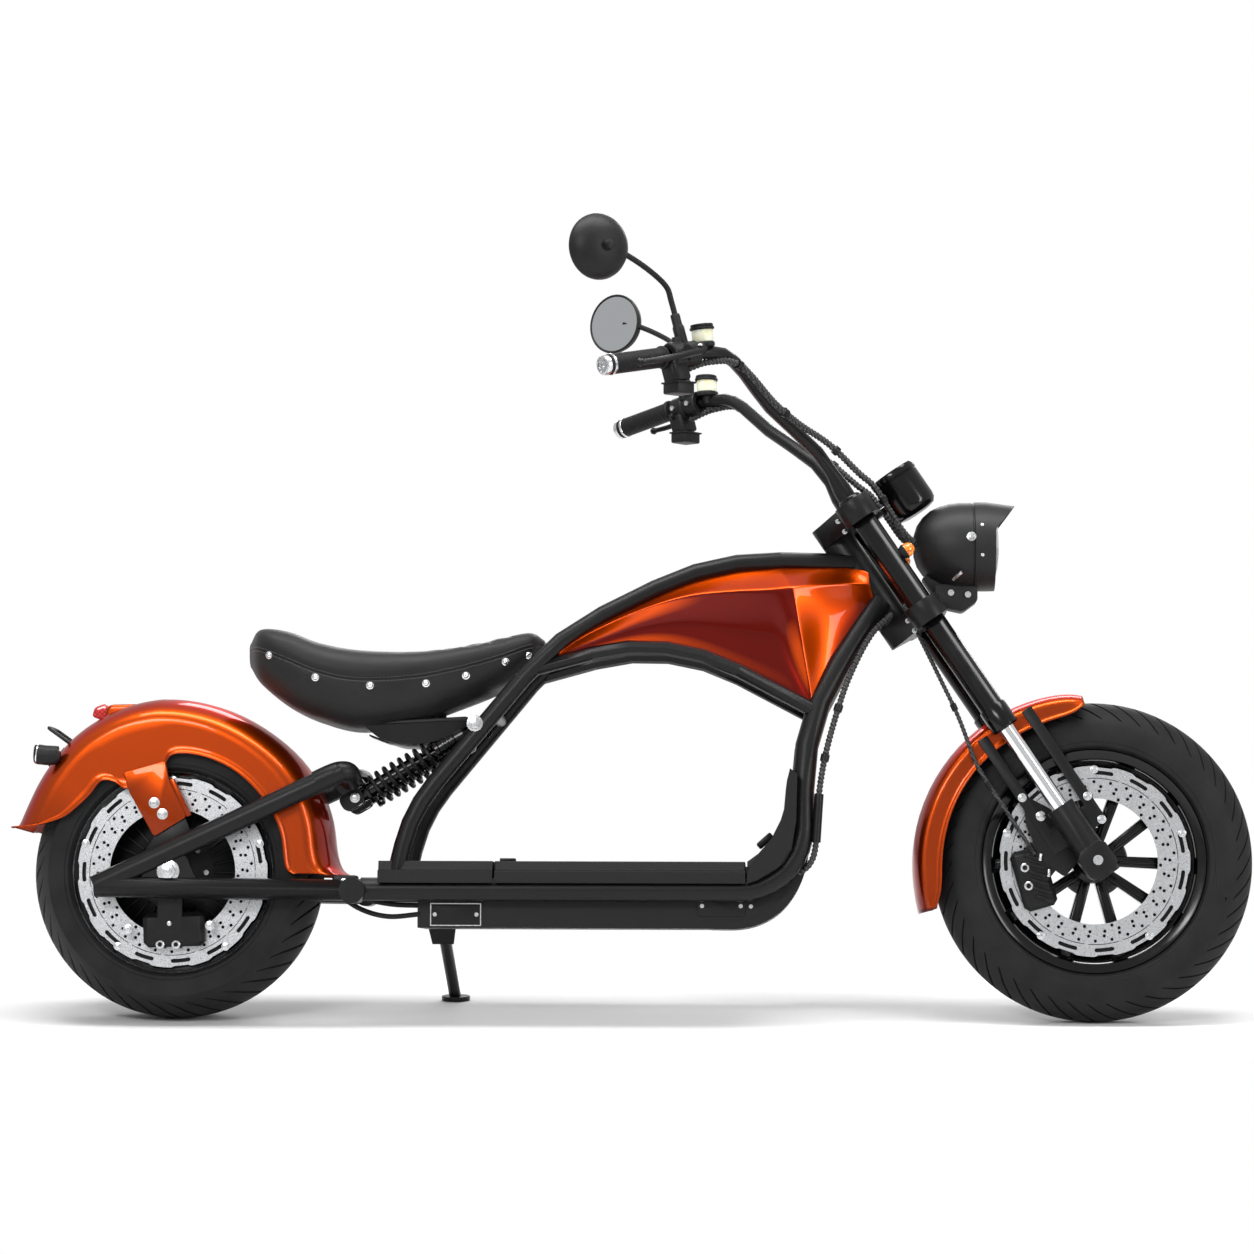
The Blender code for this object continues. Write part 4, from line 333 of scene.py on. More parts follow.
def hard(shape, angle):
    """Edges where two faces meet at more than an angle."""
    return [edge for edge in shape.edges if len(edge.link_faces) == 2 and edge.calc_face_angle(0.0) > angle]


def level(edges, reach):
    """Edges that rise or fall by less than a reach."""
    return [edge for edge in edges if abs(edge.verts[0].co.z - edge.verts[1].co.z) < reach]


def both_ways(half):
    """A profile and its mirror image below it."""
    return half + [(radius, -height) for radius, height in reversed(half)]


def only(items, kind):
    return [item for item in items if isinstance(item, kind)]


def at(place):
    return Matrix.Translation(place)


def about_z(angle):
    return Matrix.Rotation(angle, 4, "Z")


def mm(*rows):
    """Rows of millimetres in metres."""
    return [tuple(number / 1000 for number in row) for row in rows]


def axes(origin, x_axis, z_axis):
    """A matrix with its local X and Z along the two given directions."""
    z_axis = Vector(z_axis).normalized()
    y_axis = z_axis.cross(Vector(x_axis)).normalized()
    turned = Matrix((y_axis.cross(z_axis), y_axis, z_axis)).transposed().to_4x4()
    return at(origin) @ turned


def aimed(place, direction):
    """A matrix at a place with its local Z along a direction."""
    direction = Vector(direction).normalized()
    hint = ACROSS if abs(direction.y) < 0.9 else Vector((1.0, 0.0, 0.0))
    return axes(place, hint.cross(direction), direction)


def side_on(place):
    """Local X and Y become forward and up, and local Z points out of the right side."""
    return at(place) @ Matrix.Rotation(pi / 2, 4, "X")


def spun(profile, steps=48, closed=False):
    """A profile of (radius, height) points spun about local Z."""
    shape = bmesh.new()
    corners = [shape.verts.new((radius, 0.0, height)) for radius, height in profile]
    pairs = list(zip(corners, corners[1:])) + ([(corners[-1], corners[0])] if closed else [])
    edges = [shape.edges.new(pair) for pair in pairs]
    bmesh.ops.spin(
        shape, geom=corners + edges, axis=(0, 0, 1), cent=(0, 0, 0), angle=tau, steps=steps, use_merge=True)
    bmesh.ops.remove_doubles(shape, verts=shape.verts, dist=0.00002)
    bmesh.ops.recalc_face_normals(shape, faces=shape.faces)
    return shape


def curve(points, spans=6):
    """Points on one smooth curve through the given ones."""
    places = [Vector(point) for point in points]
    ends = [2 * places[0] - places[1], *places, 2 * places[-1] - places[-2]]
    path = []
    for a, b, c, d in zip(ends, ends[1:], ends[2:], ends[3:]):
        for t in (index / spans for index in range(spans)):
            bend = (2 * a - 5 * b + 4 * c - d) * t**2 + (3 * b - a - 3 * c + d) * t**3
            path.append(0.5 * (2 * b + (c - a) * t + bend))
    return path + [places[-1]]


def lofted(rings, closed=True):
    """A first ring of points, extruded from ring to ring. Closed rings are capped."""
    shape = bmesh.new()
    last = [shape.verts.new(point) for point in rings[0]]
    edges = [shape.edges.new(pair) for pair in zip(last, last[1:] + (last[:1] if closed else []))]
    first_edges = list(edges)
    for ring in rings[1:]:
        before = {vert: index for index, vert in enumerate(last)}
        grown = bmesh.ops.extrude_edge_only(shape, edges=edges)["geom"]
        edges = only(grown, bmesh.types.BMEdge)
        last = [None] * len(last)
        for vert in only(grown, bmesh.types.BMVert):
            for other in (edge.other_vert(vert) for edge in vert.link_edges):
                if other in before:
                    last[before[other]] = vert
        for vert, point in zip(last, ring):
            vert.co = point
    if closed:
        bmesh.ops.contextual_create(shape, geom=first_edges)
        bmesh.ops.contextual_create(shape, geom=edges)
    bmesh.ops.recalc_face_normals(shape, faces=shape.faces)
    return shape


def swept(points, radius, sides=10, scales=None):
    """A tube along points. Scales, where given, thicken or thin it at each point."""
    path = [Vector(point) for point in points]
    ways = [(after - before).normalized() for before, after in zip([path[0]] + path, path[1:] + [path[-1]])]
    ways[0] = (path[1] - path[0]).normalized()
    across = ways[0].orthogonal().normalized()
    rings = []
    for index, (place, way) in enumerate(zip(path, ways)):
        across = (across - way * across.dot(way)).normalized()
        up = way.cross(across)
        size = radius * (scales[index] if scales else 1.0)
        turns = [tau * side / sides for side in range(sides)]
        rings.append([place + (across * cos(turn) + up * sin(turn)) * size for turn in turns])
    return lofted(rings)


def arc(centre, radius, start, end, steps):
    turns = [start + (end - start) * index / steps for index in range(steps + 1)]
    return [(centre[0] + radius * cos(turn), centre[1] + radius * sin(turn)) for turn in turns]


def circle(radius, sides, centre=(0.0, 0.0)):
    return arc(centre, radius, 0.0, tau, sides)[:-1]


def rounded(corners, radius, steps=4):
    """An outline of (x, y) corners with its corners rounded."""
    outline = []
    places = [Vector(corner) for corner in corners]
    for before, place, after in zip([places[-1]] + places, places, places[1:] + places[:1]):
        back, ahead = (before - place), (after - place)
        reach = min(radius, back.length * 0.49, ahead.length * 0.49)
        start, end = place + back.normalized() * reach, place + ahead.normalized() * reach
        for index in range(steps + 1):
            t = index / steps
            outline.append(tuple((1 - t) ** 2 * start + 2 * t * (1 - t) * place + t * t * end))
    return outline


def slab(outlines, depth, bevel=0.0, segments=2):
    """A flat outline, then its holes, extruded half the depth each way along local Z."""
    shape = bmesh.new()
    for outline in outlines:
        corners = [shape.verts.new((x, y, -depth / 2)) for x, y in outline]
        for pair in zip(corners, corners[1:] + corners[:1]):
            shape.edges.new(pair)
    if len(outlines) == 1:
        bmesh.ops.contextual_create(shape, geom=shape.edges[:])
    else:
        bmesh.ops.triangle_fill(shape, edges=shape.edges[:], use_beauty=True)
    grown = bmesh.ops.extrude_face_region(shape, geom=shape.faces[:], use_keep_orig=True)["geom"]
    bmesh.ops.translate(shape, verts=only(grown, bmesh.types.BMVert), vec=(0.0, 0.0, depth))
    bmesh.ops.recalc_face_normals(shape, faces=shape.faces)
    if bevel:
        bevelled(shape, level(hard(shape, 0.9), depth * 0.5), bevel, segments)
    return shape


def side_slab(outline, y, depth, bevel=0.0, corner=0.0, segments=2):
    """A plate in the side view, given by its upright X and Z, at a distance across."""
    outline = rounded(outline, corner) if corner else outline
    return placed(slab([outline], depth, bevel, segments), side_on((0.0, y, 0.0)))


def block(size, bevel=0.0, segments=2, place=None):
    """A box round the origin, or moved by a matrix, with bevelled edges."""
    shape = bmesh.new()
    bmesh.ops.create_cube(shape, size=1.0)
    bmesh.ops.scale(shape, verts=shape.verts, vec=size)
    if bevel:
        bevelled(shape, shape.edges[:], bevel, segments)
    return shape if place is None else placed(shape, place)


def drum(radius, depth, sides=24, bevel=0.0, base=0.0):
    """A round disc or bar from height base up local Z, with its rims bevelled."""
    shape = bmesh.new()
    bmesh.ops.create_cone(shape, cap_ends=True, segments=sides, radius1=radius, radius2=radius, depth=depth)
    bmesh.ops.translate(shape, verts=shape.verts, vec=(0.0, 0.0, base + depth / 2))
    if bevel:
        bevelled(shape, level(shape.edges, 0.000001), bevel)
    return shape


SOCKET_SIDES = 16


def bolt(radius=0.006, height=0.004, kind="hex"):
    """A bolt head on the local XY plane: a hex head on a washer, a socket cap or a dome."""
    if kind == "dome":
        return spun(
            [(0.0, height), (radius * 0.5, height * 0.87), (radius * 0.87, height * 0.5), (radius, 0.0)], 14
        )
    if kind == "hex":
        washer = drum(radius * 1.35, height * 0.25, 16, height * 0.08)
        return added(washer, drum(radius, height, 6, height * 0.2, height * 0.25))
    head = drum(radius, height, SOCKET_SIDES)

    def top():
        return [face for face in head.faces if face.normal.z > 0.9 and len(face.verts) == SOCKET_SIDES]

    for share in (0.15, 0.25):
        bmesh.ops.inset_region(head, faces=top(), thickness=radius * share, depth=0.0)
    well = top()
    sunk = bmesh.ops.extrude_face_region(head, geom=well)["geom"]
    bmesh.ops.delete(head, geom=well, context="FACES_ONLY")
    bmesh.ops.translate(head, verts=only(sunk, bmesh.types.BMVert), vec=(0.0, 0.0, -height * 0.6))
    return head


def bolt_at(place, direction, radius=0.006, height=0.004, kind="hex"):
    return placed(bolt(radius, height, kind), aimed(place, direction))


def rod_at(place, direction, *measures):
    return placed(drum(*measures), aimed(place, direction))


def spun_at(place, direction, profile, steps, closed=False):
    return placed(spun(profile, steps, closed), aimed(place, direction))


def piece(name, shape, made_of, body="chassis", replaces=(), sharp=35.0, lean=UPRIGHT):
    """Makes a shape a piece of the scooter, leant with the frame."""
    if lean is not None:
        placed(shape, lean)
    mesh = meshed(shape, name)
    mesh.materials.append(made_of)
    mesh.shade_smooth()
    mesh.set_sharp_from_angle(angle=radians(sharp))
    obj = shown(name, mesh)
    if replaces:
        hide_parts(*replaces)
    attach(obj, body)
    return obj


def thickened(obj, thickness, offset=-1.0):
    """Gives a sheet its thickness, inward."""
    wall = obj.modifiers.new("wall", "SOLIDIFY")
    wall.thickness, wall.offset = thickness, offset


def rounded_off(obj, levels):
    soft = obj.modifiers.new("smooth", "SUBSURF")
    soft.levels = soft.render_levels = levels


# CAD nodes with their edges eased

body_of = {name: body for body, names in frame["record"]["behaviour"]["bodies"].items() for name in names}


def eased(name, made_of, width=0.0008, sharp=32.0):
    """Stands a merged copy of a CAD node in its place, with its hard edges rounded."""
    shape = bmesh.new()
    shape.from_mesh(nodes[name].data)
    bmesh.ops.remove_doubles(shape, verts=shape.verts, dist=0.00003)
    bmesh.ops.dissolve_limit(shape, angle_limit=radians(0.8), verts=shape.verts, edges=shape.edges)
    if width:
        bevelled(shape, hard(shape, radians(sharp)), width, clamped=True)
    piece(name + "_finished", shape, made_of, body_of[name], [name], sharp, lean=None)


def ease_frame():
    """Tubes are only smoothed, and what is cast, pressed or moulded has its edges rounded as well."""
    for made_of, width, sharp, names in (
        (BLACK, 0.0, 40.0, "frame_cradle_? frame_main_? frame_arch_? swingarm_?"),
        (BLACK, 0.001, 32.0, "fork_leg_?"),
        (GLOSS, 0.0, 40.0, "fork_tube_?"), (CHROME, 0.0, 40.0, "fork_stanchion_?"),
        (BLACK, 0.0, 40.0, "handlebar_?"),
        (BLACK, 0.0006, 32.0, "head_tube swingarm_bridge seat_bracket side_stand"),
        (BLACK, 0.0015, 32.0, "upper_clamp lower_clamp"),
        (PLASTIC, 0.0018, 24.0, "battery_box battery_lid footboard_front footboard_rear"),
        (STEEL, 0.0008, 32.0, "front_axle rear_axle"), (ALLOY, 0.0015, 32.0, "front_caliper rear_caliper"),
    ):
        for name in names.split():
            for side in ("right", "left") if "?" in name else ("",):
                eased(name.replace("?", side), made_of, width, sharp)


for cad_name, cad_node in nodes.items():
    cad_node.material_slots[0].material = FINISHES[slot_names[cad_name]]
ease_frame()


# Wheels

WHEEL = Matrix.Rotation(pi / 2, 4, "X")  # local Z becomes the right side's outward way
GROOVE_SLANT = 0.072  # metres of tread over which a groove runs back from the middle to the shoulder
GROOVE_PITCH = 4  # facets of the tyre from one groove to the next


def tyre(end, axle, radius, half_width, tread_radius, bead_radius, bead_half, steps, reach):
    """A tyre with slanting grooves from each shoulder towards its middle."""
    shoulder = 0.62 * asin(min(1.0, half_width / tread_radius))
    columns = 7
    across = [shoulder * index / columns for index in range(columns + 1)]
    tread = [(radius - tread_radius * (1 - cos(a)), tread_radius * sin(a)) for a in across]
    middle = (tread[-1][0] + bead_radius) / 2
    wall = [
        (tread[-1][0] - 0.008, tread[-1][1] + (half_width - tread[-1][1]) * 0.52),
        (middle + 0.016, half_width * 0.985), (middle, half_width),
        (middle - 0.01, half_width * 0.992), (middle - 0.011, half_width * 0.978),
        (middle - 0.016, half_width * 0.97), (middle - 0.017, half_width * 0.955),
        (bead_radius + 0.016, (half_width + bead_half) / 2 + 0.004),
        (bead_radius + 0.0125, bead_half + 0.002),
        (bead_radius + 0.001, bead_half - 0.002),
    ]
    half = tread[1:] + wall
    shape = spun([(r, -h) for r, h in reversed(half)] + [tread[0]] + half, steps)
    for vert in shape.verts:
        share = min(1.0, abs(vert.co.z) / half_width)
        if hypot(vert.co.x, vert.co.y) > middle:
            vert.co = Matrix.Rotation(-share * share * GROOVE_SLANT / radius, 3, "Z") @ vert.co
    grooves = []
    for face in shape.faces:
        centre = face.calc_center_median()
        out = hypot(centre.x, centre.y)
        share = abs(centre.z) / tread[-1][1]
        if out < tread[-1][0] - 0.007 or not reach[0] < share < reach[1]:
            continue
        unturned = Matrix.Rotation((abs(centre.z) / half_width) ** 2 * GROOVE_SLANT / radius, 3, "Z") @ centre
        step = int((atan2(unturned.y, unturned.x) % tau) / tau * steps)
        if (step + (GROOVE_PITCH // 2 if centre.z > 0 else 0)) % GROOVE_PITCH == 0:
            grooves.append(face)
    for thickness, depth in ((0.0012, 0.0), (0.0004, -0.0035)):
        bmesh.ops.inset_region(shape, faces=grooves, thickness=thickness, depth=depth, use_even_offset=True)
    placed(shape, at(axle) @ WHEEL)
    piece(end + "_tyre_treaded", shape, TYRE, end + "_wheel", [end + "_tyre"], 28.0)


tyre("front", FRONT_AXLE, 0.262, 0.061, 0.062, 0.1715, 0.0465, 184, (0.1, 1.4))
tyre("rear", REAR_AXLE, 0.2384, 0.1075, 0.15, 0.1524, 0.0865, 168, (0.16, 1.3))


def rim_ring(bead_radius, flange_radius, half_width):
    """The rim's barrel with rolled flanges and a stepped well, closed round its section."""
    inner = bead_radius - 0.006
    half = [
        (inner, 0.0), (inner, half_width - 0.01), (inner + 0.003, half_width - 0.004),
        (flange_radius - 0.006, half_width - 0.0022), (flange_radius - 0.002, half_width),
        (flange_radius, half_width - 0.0012), (flange_radius - 0.0005, half_width - 0.004),
        (bead_radius, half_width - 0.005), (bead_radius, 0.0),
    ]
    profile = half + [(r, -h) for r, h in reversed(half[1:-1])]
    return spun(profile, 96, closed=True)


FRONT_DISC_Y = -0.0525
REAR_DISC_Y = -0.0928
DISC_LUGS = 15
SPOKE_PAIRS = 5


def make_front_rim():
    """Ten flat spokes in five pairs, each pair spreading from one root."""
    def ray(turn, radius):
        return Vector((cos(turn), sin(turn))) * radius

    def bar(start, end, narrow, wide):
        way = (end - start).normalized()
        across = Vector((-way.y, way.x))
        return [tuple(point) for point in (
            start + across * narrow, start - across * narrow, end - across * wide, end + across * wide)]

    pitch = tau / SPOKE_PAIRS
    spokes, posts = [], []
    for root in (pi / 2 + pitch * index for index in range(SPOKE_PAIRS)):
        for side in (-1, 1):
            hub = ray(root + side * pitch * 0.2, 0.026)
            rim = ray(root + side * pitch * 0.27, 0.168)
            spokes.append(slab([bar(hub, rim, 0.0085, 0.0105)], 0.03, 0.004, 3))
            spokes.append(
                slab([bar(hub.lerp(rim, 0.12), hub.lerp(rim, 0.93), 0.0028, 0.0036)], 0.036, 0.0015)
            )
        low, high = root - pitch * 0.24, root + pitch * 0.24
        spokes.append(
            slab([arc((0, 0), 0.058, low, high, 8) + arc((0, 0), 0.024, high, low, 6)], 0.022, 0.003)
        )
        for turn in (root - pitch * 0.315, root + pitch * 0.315):
            place = Vector((cos(turn), 0.0, sin(turn))) * 0.1495
            posts.append(rod_at(place, (0, -1, 0), 0.006, -FRONT_DISC_Y - 0.003, 12))
    well = mm((150, -10), (154, -14), (166.2, -16), (166.2, 16), (154, 14), (150, 10))
    boss = mm((10.5, 45.5), (21, 45.5), (24, 43), (26, 30), (35, 24), (36, 16))
    turned = [
        rim_ring(0.1715, 0.184, 0.05), spun(well, 96, closed=True), added(*spokes),
        spun(both_ways(boss), 48, closed=True),
    ]
    shape = added(*[placed(part, WHEEL) for part in turned], *posts)
    piece("front_rim_spoked", placed(shape, at(FRONT_AXLE)), GLOSS, "front_wheel", ["front_rim"])


def make_rear_rim():
    place = at(REAR_AXLE) @ WHEEL
    piece("rear_rim_ring", placed(rim_ring(0.1524, 0.166, 0.09), place), GLOSS, "rear_wheel", ["rear_rim"])
    # Painted highlight: a thin bright steel ring on each flange lip stands in for the highlight along the rim's
    # edge.
    highlight_profile = mm((163, 90.2), (164, 91.2), (165, 90.2))
    sides = [place @ Matrix.Scale(sign, 4, (0, 0, 1)) for sign in (1.0, -1.0)]
    line = copied(spun(highlight_profile, 96), sides)
    bmesh.ops.recalc_face_normals(line, faces=line.faces)
    piece("rear_rim_painted_highlight", line, STEEL, "rear_wheel")


def make_motor():
    """The hub motor: a finned cover inside the rim, a stepped boss and a bolt circle."""
    half = mm(
        (9.2, 85), (22.5, 85), (25.5, 83), (25.8, 62), (34, 60.5), (40, 58.5),
        (60, 57), (64, 54.5), (108, 44), (128, 42), (134, 45.5), (146.2, 45),
    )
    body = spun(both_ways(half), 96, closed=True)
    fin = slab([mm((62, 50), (66, 58.5), (127, 48.5), (134, 50), (134, 40), (66, 46))], 0.0032, 0.0008, 1)
    placed(fin, Matrix.Rotation(pi / 2, 4, "X"))
    turns = [about_z(tau * index / 30) for index in range(30)]
    fins = copied(fin, [Matrix.Scale(sign, 4, (0, 0, 1)) @ turn for sign in (1.0, -1.0) for turn in turns])
    whole = added(body, fins)
    bmesh.ops.recalc_face_normals(whole, faces=whole.faces)
    place = at(REAR_AXLE) @ WHEEL
    piece("hub_motor_finned", placed(whole, place), ALLOY, "rear_wheel", ["hub_motor"])
    ring = [place @ about_z(tau * index / 8) @ at((0.051, 0.0, 0.0577)) for index in range(8)]
    piece("hub_motor_bolts", copied(bolt(0.0042, 0.004, "socket"), ring), ZINC, "rear_wheel")


def scalloped(radius, lug_height):
    """The outer outline of a disc with a low lug at each step round it."""
    half = ((0.11, 1.0), (0.22, 1.0), (0.27, 0.7), (0.33, 0.0), (0.4, 0.0))
    lug = [(-part, height) for part, height in reversed(half)] + [(0.0, 1.0), *half]
    outline = []
    for index in range(DISC_LUGS):
        for part, height in lug:
            turn = tau / DISC_LUGS * (index + part)
            reach = radius + lug_height * height
            outline.append((reach * cos(turn), reach * sin(turn)))
    return outline


def disc_slots():
    """Oblong slots with round ends, one between each two lugs."""
    slots = []
    middle, half_width, half_turn = 0.145, 0.0032, radians(5.2)
    for turn in (tau * (index + 0.5) / DISC_LUGS for index in range(DISC_LUGS)):
        start, end = turn - half_turn, turn + half_turn
        slots.append(
            arc((0, 0), middle + half_width, start, end, 4)[1:-1]
            + arc((middle * cos(end), middle * sin(end)), half_width, end, end + pi, 6)
            + arc((0, 0), middle - half_width, end, start, 4)[1:-1]
            + arc((middle * cos(start), middle * sin(start)), half_width, start + pi, start + tau, 6)
        )
    return slots


def disc_holes():
    """Small drillings in slanting rows of three and four round the inner ring."""
    holes = []
    for index in range(30):
        for row, radius in enumerate((0.1075, 0.115, 0.1225, 0.13)):
            if row or not index % 2:
                place = tau * index / 30 + radians(3.2) * (row - 1.5) / 1.5 + radians(3.0) * (row % 2)
                holes.append(circle(0.0028, 8, (radius * cos(place), radius * sin(place))))
    return holes


def make_disc(end, axle, y):
    """A slotted carrier ring and a drilled ring inside it, joined by five round buttons."""
    name, body, place = end + "_disc_drilled", end + "_wheel", at(axle + ACROSS * y) @ WHEEL
    carrier = slab([scalloped(0.1532, 0.0026), circle(0.1364, 75)] + disc_slots(), 0.0046)
    drilled = slab([circle(0.1352, 75), circle(0.103, 75)] + disc_holes(), 0.0042)
    tabs = copied(block((0.003, 0.006, 0.004)), [
        about_z(tau * index / DISC_LUGS) @ at((0.1358, 0, 0)) for index in range(DISC_LUGS)])
    piece(name, placed(added(carrier, drilled, tabs), place), STEEL, body, [end + "_disc"], 30.0)
    # Painted shade: a matte black ring just behind the disc, so its holes and slots show dark.
    shade_backing = spun(mm((104, -6.2), (149, -6.2), (149, -3.6), (104, -3.6)), 90, closed=True)
    piece(name + "_shade_backing", placed(shade_backing, place), TYRE, body)
    heads = [place @ about_z(tau * (index + 0.25) / 5) @ at((0.15, 0.0, 0.0023)) for index in range(5)]
    piece(name + "_bolts", copied(bolt(0.005, 0.004), heads), ZINC, body)


make_front_rim()
make_rear_rim()
make_motor()
make_disc("front", FRONT_AXLE, FRONT_DISC_Y)
make_disc("rear", REAR_AXLE, REAR_DISC_Y)


# Fenders

def fender(name, rows, replaces, body, shift, axle, crown, steps):
    """An arched sheet. Rows are angle in degrees, outer radius, half width and radius of the skirt's edge."""
    x, z = axle.x + shift[0], axle.z + shift[1]
    rings = []
    for degrees, radius, half_width, edge in curve_rows(rows, steps):
        turn = radians(degrees)
        half = []
        for roll in (radians(90.0) * index / 8 for index in range(9)):
            half.append((radius - crown[0] * (1 - cos(roll) ** crown[1]), half_width * sin(roll) ** crown[2]))
        side = half[-1][0]
        half += [(side + (edge + 0.005 - side) * index / 6, half_width) for index in range(1, 7)]
        half += [
            (edge + 0.0032, half_width + 0.0012), (edge + 0.0012, half_width + 0.0028),
            (edge - 0.0015, half_width + 0.0032),
        ]
        section = [(r, -w) for r, w in reversed(half[1:])] + half
        rings.append([(x + r * cos(turn), w, z + r * sin(turn)) for r, w in section])
    thickened(piece(name, lofted(rings, closed=False), ORANGE, body, replaces, 60.0), 0.0025)


def curve_rows(rows, steps):
    """Rows of four numbers, smoothed through the given ones."""
    widths = curve([(row[3], 0.0, 0.0) for row in rows], steps)
    return [list(a) + [b.x] for a, b in zip(curve([row[:3] for row in rows], steps), widths)]


def make_rear_fender():
    """Its tail flips up and its front foot flares."""
    rows = (
        (164.5, 0.276, 0.112, 0.268), (161.0, 0.273, 0.116, 0.232), (154.0, 0.2725, 0.118, 0.2),
        (146.0, 0.275, 0.119, 0.188), (137.0, 0.2785, 0.119, 0.184), (128.0, 0.283, 0.119, 0.188),
        (122.5, 0.285, 0.119, 0.174), (119.0, 0.286, 0.119, 0.155), (110.0, 0.2885, 0.119, 0.152),
        (97.0, 0.289, 0.119, 0.155),
        (93.5, 0.288, 0.119, 0.176), (90.0, 0.287, 0.119, 0.191), (80.0, 0.2835, 0.119, 0.1955),
        (60.0, 0.2775, 0.119, 0.1955), (40.0, 0.2745, 0.119, 0.193), (22.0, 0.268, 0.119, 0.192),
        (9.0, 0.262, 0.119, 0.188), (2.0, 0.268, 0.119, 0.19), (-1.0, 0.285, 0.119, 0.2),
    )
    fender("rear_fender_arched", rows, (), "chassis", (0.0, 0.0), REAR_AXLE, (0.04, 1.0, 0.85), 5)


def make_front_fender():
    rows = (
        (92.0, 0.28, 0.064, 0.262), (97.0, 0.284, 0.069, 0.25), (106.0, 0.286, 0.0722, 0.245),
        (125.0, 0.2875, 0.0725, 0.243), (150.0, 0.288, 0.0725, 0.243), (175.0, 0.288, 0.0725, 0.243),
        (188.0, 0.288, 0.0725, 0.247), (196.0, 0.289, 0.07, 0.262),
    )
    shift = (-0.0076, -0.0063)
    fender("front_fender_arched", rows, ["front_fender"], "steering", shift, FRONT_AXLE, (0.018, 1.0, 0.8), 6)


make_rear_fender()
make_front_fender()


# Side covers

# A cover's top edge under the main tube, its ridge and its low edge along the arch tube, from tail to spine.
COVER_TOP = mm(
    (-112, 98.5, 606), (-60, 92, 642), (20, 78, 684), (100, 64, 722), (180, 51, 743), (238, 42, 749),
)
COVER_RIDGE = mm(
    (-110, 106.5, 598), (-60, 113, 629), (20, 106, 667), (100, 102, 692), (170, 99.5, 700),
    (235, 96.5, 703.5),
)
COVER_LOW = mm(
    (-108, 103, 590), (-60, 100, 603), (20, 96, 615), (100, 92.5, 606), (205, 90.5, 566), (296, 89, 520),
)
SPINE = mm((276, 95.5, 690), (284, 96, 645), (292, 95, 600), (300, 92, 555))
SPINE_FOOT = (0.306, 0.0885, 0.513)
# In front of the spine: top edge, ridge and front edge against the down tube.
FACET_TOP = mm((300, 33, 751), (350, 30, 749), (402, 31, 742))
FACET_RIDGE = mm((312, 79, 712), (356, 60, 716), (404, 38, 718))
FACET_LOW = mm((332, 70, 560), (366, 52, 614), (413, 31, 688))
RIDGE_ROUND = 0.05


def cover_row(top, ridge, low, dish, spine=()):
    """One station of a cover from its top edge over the rounded ridge to its low edge."""
    top, ridge, low = Vector(top), Vector(ridge), Vector(low)
    upper = [top.lerp(ridge, share) - ACROSS * dish * 0.35 * sin(pi * share) for share in (0.0, 0.3, 0.65)]
    upper.append(top.lerp(ridge, 1.0 - RIDGE_ROUND * 1.4))
    path = curve([ridge, *spine, low], 8) if spine else [ridge, low]
    lengths = [0.0]
    for before, after in zip(path, path[1:]):
        lengths.append(lengths[-1] + (after - before).length)
    lower = []
    for share in (0.0, RIDGE_ROUND, 0.18, 0.32, 0.48, 0.64, 0.8, 1.0):
        reach = share * lengths[-1]
        index = max(place for place, length in enumerate(lengths[:-1]) if length <= reach)
        part = (reach - lengths[index]) / (lengths[index + 1] - lengths[index])
        lower.append(path[index].lerp(path[index + 1], part) - ACROSS * dish * sin(pi * share))
    return upper + lower


def make_cover(name, side):
    """The wing behind the spine and the facet in front of it, slightly dished, with a soft ridge between."""
    tops, ridges, lows = (curve(table, 4) for table in (COVER_TOP, COVER_RIDGE, COVER_LOW))
    rows = []
    for index, stations in enumerate(zip(tops, ridges, lows)):
        dish = 0.013 * sin(pi / 2 * min(1.0, 1.6 * index / (len(tops) - 1))) ** 0.8
        rows.append(cover_row(*stations, dish))
    spine_top = Vector(COVER_TOP[-1]) + Vector((0.012, -0.002, 0.0))
    spine_row = cover_row(spine_top, (0.272, 0.0965, 0.7075), SPINE_FOOT, 0.0, SPINE)
    facet = [
        cover_row(*stations) for stations in zip(FACET_TOP, FACET_RIDGE, FACET_LOW, (0.012, 0.009, 0.002))
    ]
    near = [point.lerp(after, 0.86) for point, after in zip(rows[-1], spine_row)]
    past = [point.lerp(after, 0.1) for point, after in zip(spine_row, facet[0])]
    rings = [
        [(point.x, point.y * side, point.z) for point in row]
        for row in [*rows, near, spine_row, past, *facet]
    ]
    shape = lofted(rings, closed=False)
    # The covers' paint has painted shade in deep red on the flat panels and a painted highlight along the ridges.
    obj = piece("side_cover_" + name, shape, SIDE_SHADED_ORANGE, replaces=["tank_cover_" + name], sharp=70.0)
    thickened(obj, 0.0025, side)
    rounded_off(obj, 2)


for side_name, side_sign in SIDES:
    make_cover(side_name, side_sign)


# Seat

# Stations of the saddle: x, half width, underside, crown.
SEAT = mm(
    (-622, 50, 578, 618), (-600, 108, 547, 640), (-553, 132, 511, 636), (-500, 138, 487, 617),
    (-437, 136, 474, 606), (-350, 122, 488, 604), (-277, 100, 512, 613), (-206, 84, 541, 628),
    (-158, 70, 570, 637), (-136, 36, 592, 626),
)
# Half of the saddle's section, from the crown to the middle of its underside: shares of half width and
# height.
SEAT_SECTION = (
    (0.0, 0.955), (0.3, 0.965), (0.58, 0.985), (0.8, 0.965), (0.94, 0.87), (1.0, 0.74), (0.995, 0.645),
    (0.97, 0.605), (0.985, 0.565), (0.965, 0.42), (0.9, 0.26), (0.78, 0.12), (0.55, 0.03), (0.0, 0.0),
)
TUFT = 0.042
TUFT_DEPTH = 0.0042
TUFTED = (-0.535, -0.185, 0.09)


